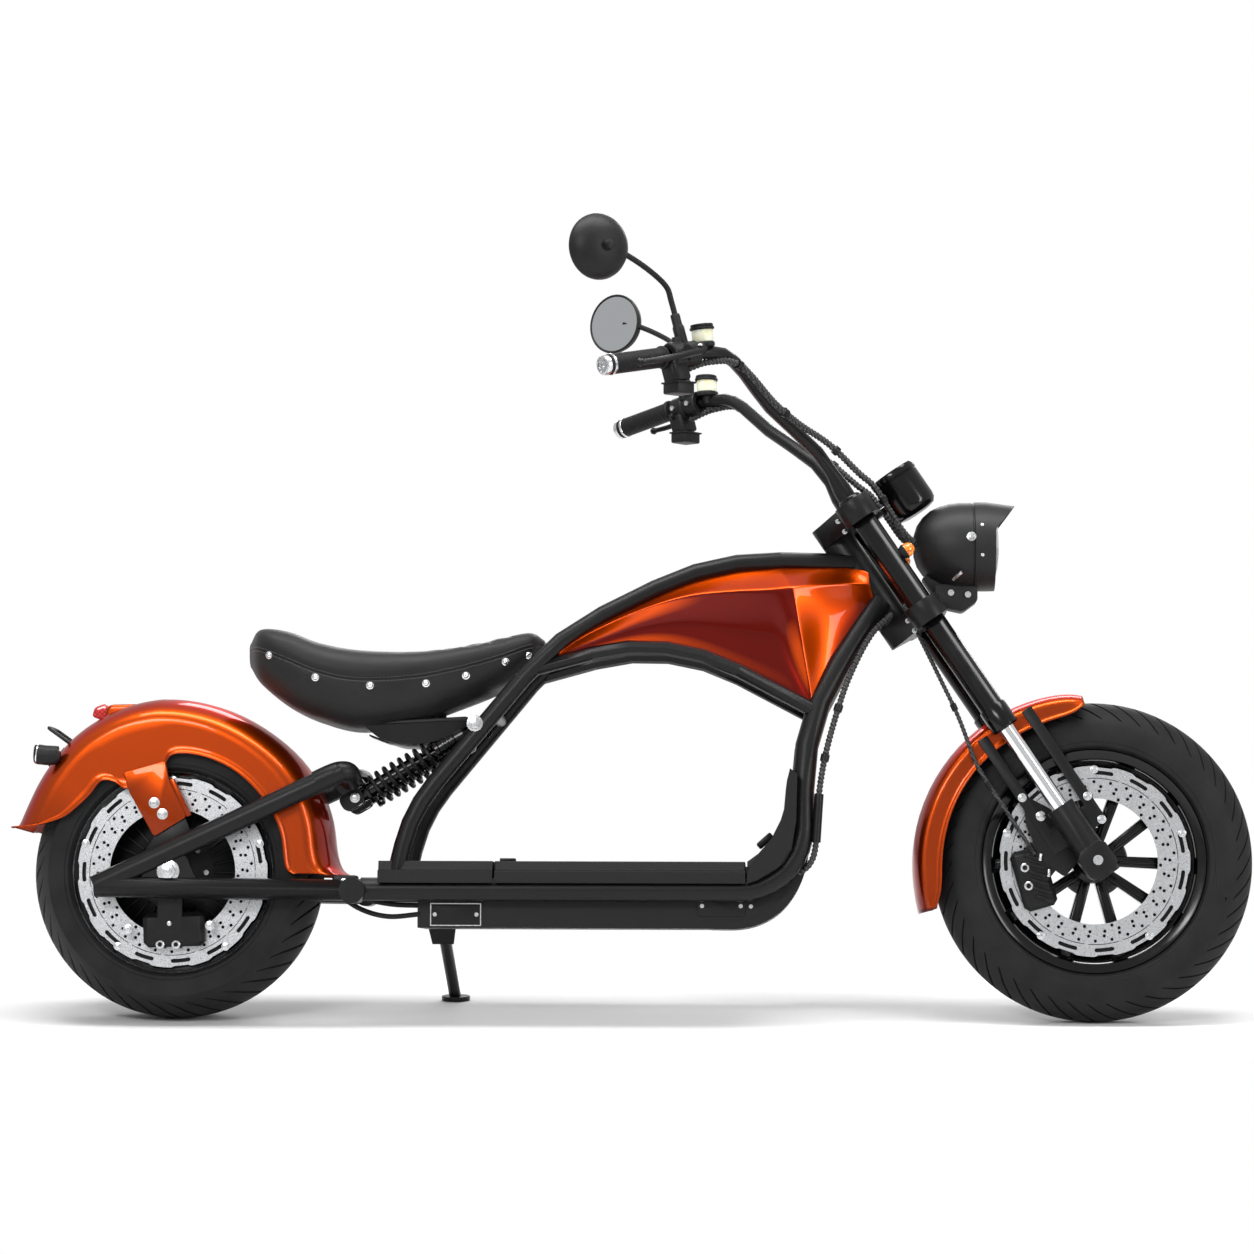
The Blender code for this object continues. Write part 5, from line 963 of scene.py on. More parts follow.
def seat_rows():
    """The saddle's rings from tail to nose, with the quilting pressed into the crown."""
    stations = curve([(x, half, low) for x, half, low, _ in SEAT], 14)
    crowns = curve([(x, crown, 0.0) for x, _, _, crown in SEAT], 14)
    half_section = curve([(across, up, 0.0) for across, up in SEAT_SECTION], 4)
    tail, nose, wide = TUFTED
    rows = []
    for (x, half, low), crown in zip(stations, crowns):
        ring = [(point.x * half, low + (crown.y - low) * point.y, point.y) for point in half_section]
        row = []
        for y, z, share in ring + [(-y, z, share) for y, z, share in reversed(ring[1:-1])]:
            if share > 0.85 and tail < x < nose and abs(y) < wide:
                edge = min(1.0, (wide - abs(y)) / 0.02, (x - tail) / 0.02, (nose - x) / 0.02)
                lines = [abs(sin(pi * (x + way * y) / TUFT)) for way in (1.0, -1.0)]
                z -= TUFT_DEPTH * edge * (1.0 - min(lines) ** 0.5)
            row.append(Vector((x, y, z)))
        rows.append(row)
    return rows


SEAT_STUDS = mm((-582, 593), (-504, 556), (-415, 543), (-325, 548), (-261, 562), (-197, 586), (-160, 598))
# A low dome on a flange.
STUD = mm((0, 3.52), (2.24, 3.2), (3.968, 2.112), (4.736, 0.896), (6.4, 0.64), (6.4, 0))
SEAM_LEVEL = 0.585  # of the saddle's height
SEAM_PITCH = 0.0062  # between the two rows of stitches


def make_seat():
    """A firm saddle: a bolster over a double-stitched seam, quilted where one sits."""
    rows = seat_rows()
    shape = lofted(rows)
    skin = BVHTree.FromBMesh(shape)
    seat = piece("seat_saddle", shape, LEATHER, "chassis", ["seat_cushion"], 80.0)

    def side_hit(x, z, side):
        return skin.ray_cast(Vector((x, side * 0.3, z)), Vector((0.0, -side, 0.0)))[:2]

    hits = [side_hit(x, z, side) for x, z in SEAT_STUDS for _, side in SIDES]
    studs = [aimed(place - normal * 0.0006, normal) for place, normal in hits]
    piece("seat_studs", copied(spun(STUD, 20), studs), CHROME)
    stitches = []
    for side, height in ((side, height) for _, side in SIDES for height in (0.0, SEAM_PITCH)):
        route = []
        for row in rows[2:-12]:
            low, top = min(point.z for point in row), max(point.z for point in row)
            place, normal = side_hit(row[0].x, low + (top - low) * SEAM_LEVEL + height, side)
            if place is not None:
                route.append(place + normal * 0.0003)
        path = curve(route, 2)
        for before, after in zip(path[::2], path[1::2]):
            stitches.append(axes((before + after) / 2, ACROSS, after - before))
    piece("seat_stitches", copied(drum(0.0006, 0.0048, 6, 0.0002, -0.0024), stitches), THREAD)


make_seat()


# Headlight, instrument and mirrors

HEADLIGHT = FRONT_AXLE + Vector((-0.218, 0.0, 0.5215))
HEADLIGHT_SHELL = mm(
    (0, -75.5), (18, -74.5), (34, -69.5), (48, -60), (59, -47.5), (66.5, -32), (71, -15), (72.8, 0),
    (73, 21.5), (71.6, 22.5), (71.6, 24), (73.6, 25.2), (74, 30), (74, 45), (73.6, 58.5), (70.8, 58.5),
    (70, 45), (68, 30), (66, 0), (58, -40), (0, -68),
)
VISOR_REACH = 0.034
VISOR_FROM = 0.66  # of the bezel's height
VISOR_DROOP = 0.006
HEADLIGHT_LENS = mm(
    (0, 66), (20, 65.5), (38, 63.5), (54, 59.5), (65, 54.5), (69, 50), (69, 47), (54, 57), (30, 62),
    (0, 63.5),
)
HEADLIGHT_BOWL = mm(
    (0, -28), (18, -26), (36, -16), (52, 4), (64, 30), (65.5, 36), (63.5, 36), (50, 6), (34, -13), (17, -23),
    (0, -25.5),
)
HEADLIGHT_BULB = mm((0, 12), (5, 10), (6.5, 4), (5, -20), (0, -24))
HEADLIGHT_TRIM = mm((64, 37.5), (68, 40), (70, 40), (70, 36), (65, 35))
HEADLIGHT_FOOT = mm((-40, 22), (30, 22), (30, -6), (6, -24), (-40, -14))


def make_headlight():
    """A bullet shell, a riveted bezel whose brim runs out to a point, and a lens over its reflector."""
    shell = spun(HEADLIGHT_SHELL, 72)
    turned = axes(HEADLIGHT, (0.0, 0.0, 1.0), (1.0, 0.0, 0.0))
    for vert in shell.verts:
        if vert.co.z > 0.05:
            share = max(0.0, ((vert.co.x + 0.073) / 0.146 - VISOR_FROM) / (1.0 - VISOR_FROM))
            vert.co.z += VISOR_REACH * share
            vert.co.x -= VISOR_DROOP * share
    arm = block((0.078, 0.044, 0.04), 0.004, place=axes(fork_point(0.524, 0.07), FORK_FORWARD, FORK_UP))
    under = side_on(HEADLIGHT + Vector((0.0, 0.0, -0.086)))
    bracket = placed(slab([rounded(HEADLIGHT_FOOT, 0.005)], 0.052, 0.0015), under)
    shape = added(placed(shell, turned), arm, bracket)
    piece("headlight_bullet", shape, SHELL_BLACK, "steering", ["headlight_shell"], 28.0)
    lens = placed(spun(HEADLIGHT_LENS, 56), turned)
    piece("headlight_glass", lens, CLEAR, "steering", ["headlight_lens"], 40.0)
    inside = added(spun(HEADLIGHT_BOWL, 48), spun(HEADLIGHT_BULB, 20), spun(HEADLIGHT_TRIM, 56, closed=True))
    piece("headlight_reflector", placed(inside, turned), CHROME, "steering")
    rivets, heads = [], []
    for _, side in SIDES:
        for turn in (radians(-16.0), radians(24.0)):
            out = Vector((0.0, side * cos(turn), sin(turn)))
            rivets.append(aimed(HEADLIGHT + out * 0.0738 + Vector((0.036, 0.0, 0.0)), out))
        place = HEADLIGHT + Vector((0.018, side * 0.072, 0.01))
        heads.append(bolt_at(place, (0.0, side, 0.1), 0.0058, 0.0042))
        for x, z in ((-0.014, -0.079), (0.014, -0.082)):
            place = HEADLIGHT + Vector((x, side * 0.0262, z))
            heads.append(bolt_at(place, ACROSS * side, 0.0052, 0.004, "socket"))
        place = HEADLIGHT + Vector((-0.012, side * 0.056, -0.06))
        heads.append(rod_at(place, (0.6, side * 0.5, 0.5), 0.0028, 0.022, 10, 0.0005))
    piece("headlight_rivets", copied(bolt(0.0032, 0.0018, "dome"), rivets), ZINC, "steering")
    piece("headlight_bolts", added(*heads), ZINC, "steering")


DIAL_CAN = mm(
    (0, -40), (24, -40), (33, -37.5), (38.5, -31), (40, -23), (40, 25.5), (39.2, 26.2), (39.2, 27.5),
    (40.8, 28.5), (41.2, 36), (39.5, 40), (36.5, 40), (35.5, 36), (0, 36),
)
DIAL_FACE = 0.0362
DIAL_STEPS = 20
NEEDLE = mm((-0.9, -6), (0.9, -6), (0.4, 26), (-0.4, 26))


def make_speedometer():
    """A gloss black can set along the fork, with a bezel and a plain dial under glass."""
    upright = axes(fork_point(0.678, 0.089), ACROSS, FORK_UP)
    arm = block((0.06, 0.03, 0.012), 0.003, place=axes(fork_point(0.672, 0.045), FORK_FORWARD, FORK_UP))
    can = added(placed(spun(DIAL_CAN, 64), upright), arm)
    piece("speedometer_can", can, GLOSS, "steering", ["speedometer"], 40.0)
    marks = []
    for index in range(DIAL_STEPS + 1):
        width, long = (0.0009, 0.0028) if index % 5 else (0.0014, 0.005)
        place = about_z(radians(270.0 * index / DIAL_STEPS - 135.0)) @ at((0.0, 0.0315 - long / 2, DIAL_FACE))
        marks.append(block((width, long, 0.0004), place=place))
    marks.append(placed(slab([NEEDLE], 0.0006), about_z(radians(128.0)) @ at((0.0, 0.0, DIAL_FACE + 0.001))))
    marks.append(drum(0.0036, 0.002, 20, 0.0004, DIAL_FACE))
    piece("speedometer_dial", placed(added(*marks), upright), PRINT, "steering")
    glass = spun(mm((0, 40.2), (22, 39.8), (36, 38.8), (36, 38), (0, 38.8)), 48)
    piece("speedometer_glass", placed(glass, upright), CLEAR, "steering")


MIRROR_DOME = mm(
    (0, -26), (16, -25), (30, -21.8), (41, -16), (48.5, -8.5), (52, -1), (52.8, 3), (52.6, 5.8), (50.8, 7.2),
    (49.2, 6.6), (48.4, 5), (0, 5),
)
MIRROR_STEM = mm(
    (-679, 300, 846.5), (-689, 303, 884), (-698, 312, 908), (-728, 344, 931), (-764, 374, 950),
    (-787, 388, 956),
)
MIRROR_SOCKET = mm(
    (0, -40), (8.5, -40), (9.5, -37), (9.5, -4), (8.5, -2), (7.8, 0), (7.8, 16), (6.6, 18), (0, 18),
)
MIRROR_KNUCKLE = mm((0, 12), (7, 9), (9, 0), (11, -12), (0, -14))
MIRROR_GLASS = mm((0, 6.4), (30, 6.1), (48.4, 5.6), (48.4, 5), (0, 5))


def make_mirrors():
    """A round plastic head with a domed back, on a bent stem in a two-step socket."""
    for name, side in SIDES:
        head = from_front_axle((-0.801, 0.4, 0.9565), side)
        facing = Vector((-0.55, -0.83 * side, 0.05))
        route = [from_front_axle(point, side) for point in MIRROR_STEM]
        shape = added(
            spun_at(head, facing, MIRROR_DOME, 64), swept(curve(route, 5), 0.0047, 14),
            spun_at(route[0], route[1] - route[0], MIRROR_SOCKET, 24),
            spun_at(head - facing.normalized() * 0.027, -facing, MIRROR_KNUCKLE, 24),
        )
        piece("mirror_body_" + name, shape, PLASTIC, "steering", ["mirror_" + name])
        piece("mirror_glass_" + name, spun_at(head, facing, MIRROR_GLASS, 56), GLASS, "steering")


make_headlight()
make_speedometer()
make_mirrors()


# Shocks

SHOCK_LOWER = Vector((-0.442, 0.0, 0.362))
SHOCK_UPPER = Vector((-0.24, 0.0, 0.48))
SHOCK_Y = 0.066
COILS = 8.5
COIL_STEPS = 160
CRADLE_Y_AT_SHOCK = 0.106
SHOCK_EYE = mm((5.2, -13.5), (12.2, -13.5), (13.2, -12.5), (13.2, 12.5), (12.2, 13.5), (5.2, 13.5))
SHOCK_LUG = mm((-14, -14), (26, -14), (26, 14), (-14, 14))
SHOCK_DAMPER = mm(
    (0, 8), (11.8, 10), (12.6, 14), (12.6, 18), (21.5, 19), (22.5, 20.5), (22.5, 24.5), (12.6, 26),
    (12.6, 108), (6, 109), (6, 150), (20.5, 151), (22, 153), (22, 158), (19.5, 160), (19.5, 188), (21.5, 190),
    (21.5, 205), (17, 209), (12, 214),
)


def make_shock(name, side):
    """Coil-over damper: eyes, threaded body, preload collars and a black coil tapering in at both ends."""
    low, high = (point + ACROSS * SHOCK_Y * side for point in (SHOCK_LOWER, SHOCK_UPPER))
    out, place = ACROSS * side, aimed(low, high - low)
    damper = [spun(SHOCK_DAMPER + [(0.0, (high - low).length - 0.006)], 36)]
    for z in (166, 174, 182):
        damper.append(spun(mm((19.5, z), (22.5, z + 1), (22.5, z + 4), (19.5, z + 5)), 36, closed=True))
    eyes = [spun_at(point, ACROSS, SHOCK_EYE, 28, closed=True) for point in (low, high)]
    shape = added(placed(added(*damper), place), *eyes)
    piece("shock_damper_" + name, shape, GLOSS, replaces=["shock_" + name])
    route = []
    for share in (index / COIL_STEPS for index in range(COIL_STEPS + 1)):
        turn, radius = tau * COILS * share, 0.02 - 0.0016 * abs(2 * share - 1) ** 6
        route.append((radius * cos(turn), radius * sin(turn), 0.0275 + 0.1225 * share))
    piece("shock_spring_" + name, placed(swept(route, 0.0036, 8), place), BLACK)
    lugs = [placed(slab([rounded(SHOCK_LUG, 0.012)], 0.004, 0.0008),
                   axes(low + ACROSS * way * 0.0165, SHOCK_LOWER - SHOCK_UPPER, ACROSS)) for _, way in SIDES]
    piece("shock_lugs_" + name, added(*lugs), BLACK)
    piece("shock_bolts_" + name, added(
        rod_at(low, ACROSS, 0.005, 0.046, 16, 0.0006, -0.023),
        rod_at(high, out, 0.0075, CRADLE_Y_AT_SHOCK - SHOCK_Y + 0.014, 20, 0.0006, -0.014),
        bolt_at(low + out * 0.019, out, 0.0062, 0.006),
        bolt_at((high.x - 0.004, side * (CRADLE_Y_AT_SHOCK + 0.016), high.z + 0.002), out, 0.01, 0.0075),
    ), ZINC)


for side_name, side_sign in SIDES:
    make_shock(side_name, side_sign)


# Rear fender fittings and tail

FENDER_RADIUS = 0.278
TAIL_BOX = ((-0.09, 0.9), (-0.1, 1.004), (-0.425, 0.998), (-0.45, 0.89), (-0.41, 0.8))
TAIL_LENS = mm((-884, 497), (-880, 512), (-862, 519), (-854, 512), (-852, 494), (-858, 488))
FENDER_TAB = mm((-818, 400), (-806, 366), (-765.5, 295.5), (-712.5, 328), (-742, 388), (-748, 420))
FENDER_FOLD = mm((-742, 388), (-712.5, 328), (-705.5, 331), (-735, 392))
FENDER_PLATE = mm((-762, 304), (-717, 331), (-704, 300), (-716, 276), (-768, 258), (-778, 276))


def make_tail():
    """The tail box on the fender, its lamp, and the folded tabs that carry the fender on each side."""
    box = [(REAR_AXLE.x + x * FENDER_RADIUS, REAR_AXLE.z + z * FENDER_RADIUS) for x, z in TAIL_BOX]
    tabs, plates, heads = [side_slab(box, 0.0, 0.088, 0.005, 0.01, 3)], [], []
    for _, side in SIDES:
        tabs.append(side_slab(FENDER_TAB, side * 0.1245, 0.007, 0.0015, 0.005))
        tabs.append(side_slab(FENDER_FOLD, side * 0.1195, 0.016, 0.0012, 0.002))
        plates.append(side_slab(FENDER_PLATE, side * 0.1215, 0.0045, 0.0008, 0.003))
        for x, z in ((-0.7655, 0.351), (-0.752, 0.333)):
            heads.append(bolt_at((x, side * 0.1282, z), ACROSS * side, 0.0068, 0.0055))
    piece("rear_fender_fittings", added(*tabs), ORANGE, replaces=["rear_fender"], sharp=40.0)
    piece("rear_fender_plates", added(*plates), BLACK)
    piece("rear_fender_bolts", added(*heads), ZINC)
    lens = side_slab(TAIL_LENS, 0.0, 0.08, 0.004, 0.005, 3)
    piece("tail_lamp_lens", lens, RED, replaces=["tail_lens"], sharp=50.0)


POD = mm((0, -26), (8, -24.5), (13.5, -18), (16, -6), (16.5, 12), (15, 13.5), (0, 13.5))
POD_LENS = mm((0, 20), (7.5, 18.8), (12.5, 16), (14.8, 13), (0, 12))
POD_TRIM = mm((14.8, 12), (16.5, 12.2), (16.8, 14), (15, 14.8))
HOOP = mm((-50, 452), (-50, 470), (-40, 478), (40, 478), (50, 470), (50, 452))


def make_signals():
    """Two turn signals on a bar behind the fender, with the bare lamp bracket below them."""
    eased("rear_signal_bar", PLASTIC, 0.001)
    low, high = standing_box("rear_signal_bar")
    centre = (low + high) / 2
    for name, profile, made_of in (
        ("signal_pods", POD, PLASTIC), ("signal_lenses", POD_LENS, AMBER), ("signal_trims", POD_TRIM, CHROME),
    ):
        piece(name, added(*[spun_at(
            (centre.x - 0.004, side * 0.105, centre.z + 0.002), (-1.0, 0.0, 0.12),
            profile, 32, profile is POD_TRIM,
        ) for _, side in SIDES]), made_of)
    under = axes((-0.949, 0.0, 0.398), (-0.55, 0.0, -0.83), (-0.83, 0.0, 0.55))
    foot = block((0.03, 0.07, 0.006), 0.0015, place=under)
    hoop = swept(curve([(-0.918 - (z - 0.452) * 1.4, y, z) for y, z in HOOP], 4), 0.003, 10)
    piece("signal_bracket", added(hoop, foot), PLASTIC)


make_tail()
make_signals()


# Handlebar controls

BAR_END = Vector((-0.703, 0.32, 0.7915))
GRIP_TIP = Vector((-0.789, 0.39, 0.7695))
PERCH = Vector((-0.669, 0.305, 0.7975))
GRIP_RINGS = 16
BAR_END_CAP = mm(
    (0, 4.5), (4.5, 4.5), (5, 7.5), (8.2, 7.8), (8.8, 6.2), (11.2, 6.2), (11.8, 9), (15, 8.2), (16.2, 6),
    (16.3, 0), (0, 0),
)
BAR_END_KNURL = mm((16.4, -10.5), (17.2, -10), (17.2, -6.5), (16.4, -6))
PERCH_CLAMP = mm(
    (11.5, -24), (19.5, -24), (21, -22), (21, -6), (20, -4), (20, 4), (22.5, 6), (22.5, 28), (20.5, 30),
    (11.5, 30),
)
MASTER_BARREL = mm((0, -4), (9.5, -3), (10.5, 0), (10.5, 40), (9, 44), (0, 45))
PLUG_RING = mm((0, 0), (9, 0), (9, 1.2), (7.8, 2.2), (0, 2.2))
# The lever's route from its perch: ahead, outward and up.
LEVER = mm((40, -2, 2), (46, 14, 1), (53, 36, -1), (56, 66, -3), (54, 96, -4), (46, 124, -4))
LEVER_BALL = mm((0, -6.5), (4.6, -4.6), (6.5, 0), (4.6, 4.6), (0, 6.5))
POT_BAND = mm((9, -26), (11, -25), (11, -12), (9, -11))


def make_grip(name, start, tip):
    """The ribbed sleeve and the ringed end of a grip."""
    length = (tip - start).length
    profile = mm((0, -4), (16.8, -4), (18.5, -2), (18.5, 2), (16, 4))
    for z in (0.008 + (length - 0.014) * index / GRIP_RINGS for index in range(GRIP_RINGS)):
        profile += [(0.016, z), (0.0164, z + 0.0012), (0.0164, z + 0.0042), (0.016, z + 0.0054)]
    profile += [(0.0166, length - 0.003), (0.0166, length), (0.0, length)]
    sleeve = spun_at(start, tip - start, profile, 40)
    piece("grip_sleeve_" + name, sleeve, GRIP, "steering", ["grip_" + name], 30.0)
    shape = added(spun(BAR_END_CAP, 40), spun(BAR_END_KNURL, 40, closed=True))
    piece("grip_end_" + name, placed(shape, aimed(tip, tip - start)), ZINC, "steering")


def make_controls(name, side):
    """Switch housing, brake perch with its lever, and the fluid pot under an oval cap."""
    start, tip, perch = (from_front_axle(point, side) for point in (BAR_END, GRIP_TIP, PERCH))
    make_grip(name, start, tip)
    out = (tip - start).normalized()
    ahead = Vector((0.631, 0.776 * side, 0.0)).normalized()
    up = Vector((0.0, 0.0, 1.0))

    def by_perch(forward, outward, lift):
        return perch + ahead * forward + out * outward + up * lift

    along = aimed(perch, out)
    barrel_way = by_perch(0.04, 0.026, 0.006) - by_perch(0.022, -0.018, 0.006)
    piece("control_body_" + name, added(
        placed(spun(PERCH_CLAMP, 36, closed=True), along),
        block((0.034, 0.04, 0.028), 0.005, 3, at(by_perch(0.0, 0.016, -0.026)) @ along.to_3x3().to_4x4()),
        block((0.04, 0.034, 0.02), 0.003, 2, axes(by_perch(0.0, 0.01, -0.052), ahead, up)),
        block((0.044, 0.038, 0.003), 0.001, 2, axes(by_perch(0.0, 0.01, -0.044), ahead, up)),
        spun_at(by_perch(0.022, -0.018, 0.006), barrel_way, MASTER_BARREL, 28),
        block((0.026, 0.03, 0.02), 0.004, 3, axes(by_perch(0.014, 0.0, 0.004), ahead, out)),
        rod_at(from_front_axle((-0.679, 0.3, 0.8065), side), up, 0.0095, 0.02, 24, 0.0015),
        rod_at(by_perch(-0.02, 0.02, -0.016), -ahead + up * 0.3, 0.0042, 0.01, 16, 0.001),
        spun_at(by_perch(0.0, 0.016, -0.022) + ACROSS * 0.0175 * side, ACROSS * side, PLUG_RING, 28),
    ), PLASTIC, "steering", ["control_" + name], 32.0)

    route = [by_perch(*point) for point in LEVER]
    lever = swept(curve(route, 5), 0.0052, 12, [1.25 - 0.45 * index / 25 for index in range(25)] + [1.15])
    piece("brake_lever_" + name, added(lever, spun_at(route[-1], out, LEVER_BALL, 18)), BLACK, "steering")

    stand = axes(from_front_axle((-0.639, 0.29, 0.825), side), ahead, up + out * 0.1)

    def layer(low, high, size, bevel):
        oval = [(x * 0.0225, y * 0.0165) for x, y in circle(size, 32)]
        return placed(slab([oval], high - low, bevel), stand @ at((0.0, 0.0, (low + high) / 2)))

    piece("fluid_cup_" + name, layer(-0.006, 0.0165, 0.9, 0.003), FLUID, "steering", sharp=50.0)
    cap = [
        layer(-0.0125, -0.0045, 1.0, 0.002), layer(0.015, 0.0195, 1.04, 0.001),
        layer(0.0195, 0.0245, 0.96, 0.0018),
    ]
    band = placed(spun(POT_BAND, 24, closed=True), stand)
    piece("fluid_cap_" + name, added(*cap, band), PLASTIC, "steering", sharp=40.0)
    piece("control_bolts_" + name, added(
        *[placed(bolt(0.0026, 0.0014, "dome"), stand @ at((x, 0.0, 0.0245))) for x in (-0.013, 0.013)],
        bolt_at(by_perch(0.022, -0.018, 0.006) - barrel_way.normalized() * 0.004, -barrel_way, 0.0058, 0.006),
        bolt_at(route[0] + up * 0.008, up, 0.005, 0.004, "dome"),
        bolt_at(by_perch(-0.0215, -0.012, 0.0), -ahead, 0.0042, 0.0035, "socket"),
        bolt_at(by_perch(-0.0225, 0.02, 0.0), -ahead, 0.0042, 0.0035, "socket"),
    ), ZINC, "steering")


for side_name, side_sign in SIDES:
    make_controls(side_name, side_sign)


FORK_TUBE_FRONT = 0.019
MARKER_LENS = mm((0, 25), (6, 23.5), (10, 19), (11.8, 12.5), (11.8, 8), (0, 8))
MARKER_BASE = mm((0, -3), (8, -3), (9, 0), (12.5, 7), (12.5, 8.8), (0, 8.8))

for side_name, side_sign in SIDES:
    marker = fork_point(0.591, FORK_TUBE_FRONT, side_sign * LEG_Y)
    lens = spun_at(marker, FORK_FORWARD, MARKER_LENS, 32)
    piece("marker_lens_" + side_name, lens, AMBER, "steering", ["marker_lamp_" + side_name], 50.0)
    piece("marker_base_" + side_name, spun_at(marker, FORK_FORWARD, MARKER_BASE, 32), PLASTIC, "steering")


# Bolts, brackets, plates and looms

def skin_of(name):
    """A CAD node's surface, measured upright."""
    mesh = nodes[name].data
    return BVHTree.FromPolygons(
        [STANDING @ vert.co for vert in mesh.vertices], [face.vertices[:] for face in mesh.polygons]
    )


def on_skin(names, x, z, side):
    """Where a line straight across the scooter first meets the outside of these CAD nodes."""
    hits = [skin_of(name).ray_cast(Vector((x, side * 0.5, z)), ACROSS * -side)[0] for name in names]
    return max((place for place in hits if place is not None), key=lambda place: place.y * side, default=None)


def skin_bolts(names, places, side, radius, height, kind="hex"):
    """Bolt heads standing on the outside of CAD nodes, at upright x and z."""
    seats = [on_skin(names, x, z, side) for x, z in places]
    heads = [aimed(seat, ACROSS * side) for seat in seats if seat is not None]
    return copied(bolt(radius, height, kind), heads)


def ring_at(place, radius, side):
    """A small plated ring, such as a bleed nipple's seat."""
    bore, height = radius * 0.55, 0.003
    ring = [(bore, 0.0), (radius, 0.0), (radius, 0.0022), (radius * 0.85, height), (bore, height)]
    return spun_at(place, ACROSS * side, ring, 20, closed=True)


FRONT_CALIPER_BOLTS = mm((678, 335), (667, 312), (716, 249), (696, 175))
FRONT_CALIPER_RINGS = mm((652, 251), (658, 221.5))
REAR_CALIPER_BOLTS = mm((-807, 146), (-673, 152))
REAR_CALIPER_RINGS = mm((-754, 121), (-728, 121))
STAY_BOLTS = mm((754, 368), (648, 365), (777, 330))
CLAMP_BOLTS = (
    ("upper_clamp", ((0.348, 0.818), (0.359, 0.801))), ("lower_clamp", ((0.462, 0.654), (0.473, 0.638)))
)
CALIPER_BRACKET = mm((648, 371), (695, 347), (723, 300), (745, 268), (717, 236), (680, 262), (655, 318))
FRONT_UNION_Y = -0.0775
REAR_CALIPER_Y = -0.122


def make_caliper_parts():
    """The brackets that carry the calipers, their bolts, a ribbed bridge and the fluid unions."""
    ribs = []
    for index in range(6):
        place = at((0.664 + 0.0042 * index, -0.0745, 0.268 - 0.0135 * index))
        ribs.append(block((0.03, 0.006, 0.005), 0.0012, place=place @ Matrix.Rotation(radians(16), 4, "Y")))
    plate = side_slab(CALIPER_BRACKET, -0.0712, 0.0045, 0.001, 0.006)
    piece("front_caliper_bracket", added(plate, *ribs), ALLOY, "steering")
    piece("front_caliper_bolts", added(
        skin_bolts(["front_caliper", "fork_leg_right"], FRONT_CALIPER_BOLTS, -1, 0.006, 0.0055),
        *[ring_at((x, -0.0735, z), 0.0072, -1) for x, z in FRONT_CALIPER_RINGS],
        rod_at((0.676, FRONT_UNION_Y, 0.262), (0.2, 0.0, 1.0), 0.003, 0.012, 12, 0.0008),
        rod_at((0.69, FRONT_UNION_Y, 0.236), (0.1, 0.0, 1.0), 0.0026, 0.013, 12, 0.0008),
    ), ZINC, "steering")
    piece("rear_caliper_bolts", added(
        *[bolt_at((x, REAR_CALIPER_Y, z), ACROSS * -1, 0.0058, 0.005) for x, z in REAR_CALIPER_BOLTS],
        *[ring_at((x, REAR_CALIPER_Y, z), 0.007, -1) for x, z in REAR_CALIPER_RINGS],
        rod_at((-0.739, -0.1215, 0.155), ACROSS * -1, 0.004, 0.006, 14, 0.001),
    ), ZINC)


def make_steering_bolts():
    heads = []
    for name, side in SIDES:
        leg = ["fork_leg_" + name]
        heads.append(skin_bolts(leg, STAY_BOLTS, side, 0.0054, 0.0048))
        heads.append(skin_bolts(leg, [(FRONT_AXLE.x, FRONT_AXLE.z)], side, 0.0082, 0.003, "socket"))
        for clamp, places in CLAMP_BOLTS:
            heads.append(skin_bolts([clamp], places, side, 0.0042, 0.004, "socket"))
    piece("fork_bolts", added(*heads), ZINC, "steering")


PIVOT = (-0.4525, 0.2185)  # the swingarm's, in the side view


def make_rear_axle_nuts():
    nuts, blocks, heads = [], [], []
    for _, side in SIDES:
        place = aimed(REAR_AXLE + ACROSS * side * 0.145, ACROSS * side)
        nut = added(drum(0.0185, 0.003, 32, 0.0006), drum(0.0135, 0.01, 6, 0.0014, 0.003))
        nuts.append(placed(added(nut, drum(0.007, 0.0165, 20, 0.001)), place))
        blocks.append(block((0.041, 0.03, 0.031), 0.004, 3, at((PIVOT[0], side * 0.125, PIVOT[1]))))
        heads.append(bolt_at((PIVOT[0], side * 0.14, PIVOT[1]), ACROSS * side, 0.0078, 0.006))
    piece("rear_axle_nuts", added(*nuts), ZINC)
    piece("pivot_blocks", added(*blocks), BLACK)
    piece("pivot_bolts", added(*heads), ZINC)


BOX_SIDE = 0.099
PLATE_EDGE = 0.0016
BOX_NOSE = mm((140, 149.5), (188, 150), (224, 159), (257, 180), (282, 213), (296, 250), (301, 286))
REAR_PLATE = (-0.316, -0.233, 0.153, 0.19)
FRONT_PLATE = (0.119, 0.197, 0.17, 0.203)


def frame_of(left, right, low, high, inset=0.0):
    """A rectangle's corners, drawn in by an inset."""
    left, right, low, high = left + inset, right - inset, low + inset, high - inset
    return [(left, low), (right, low), (right, high), (left, high)]


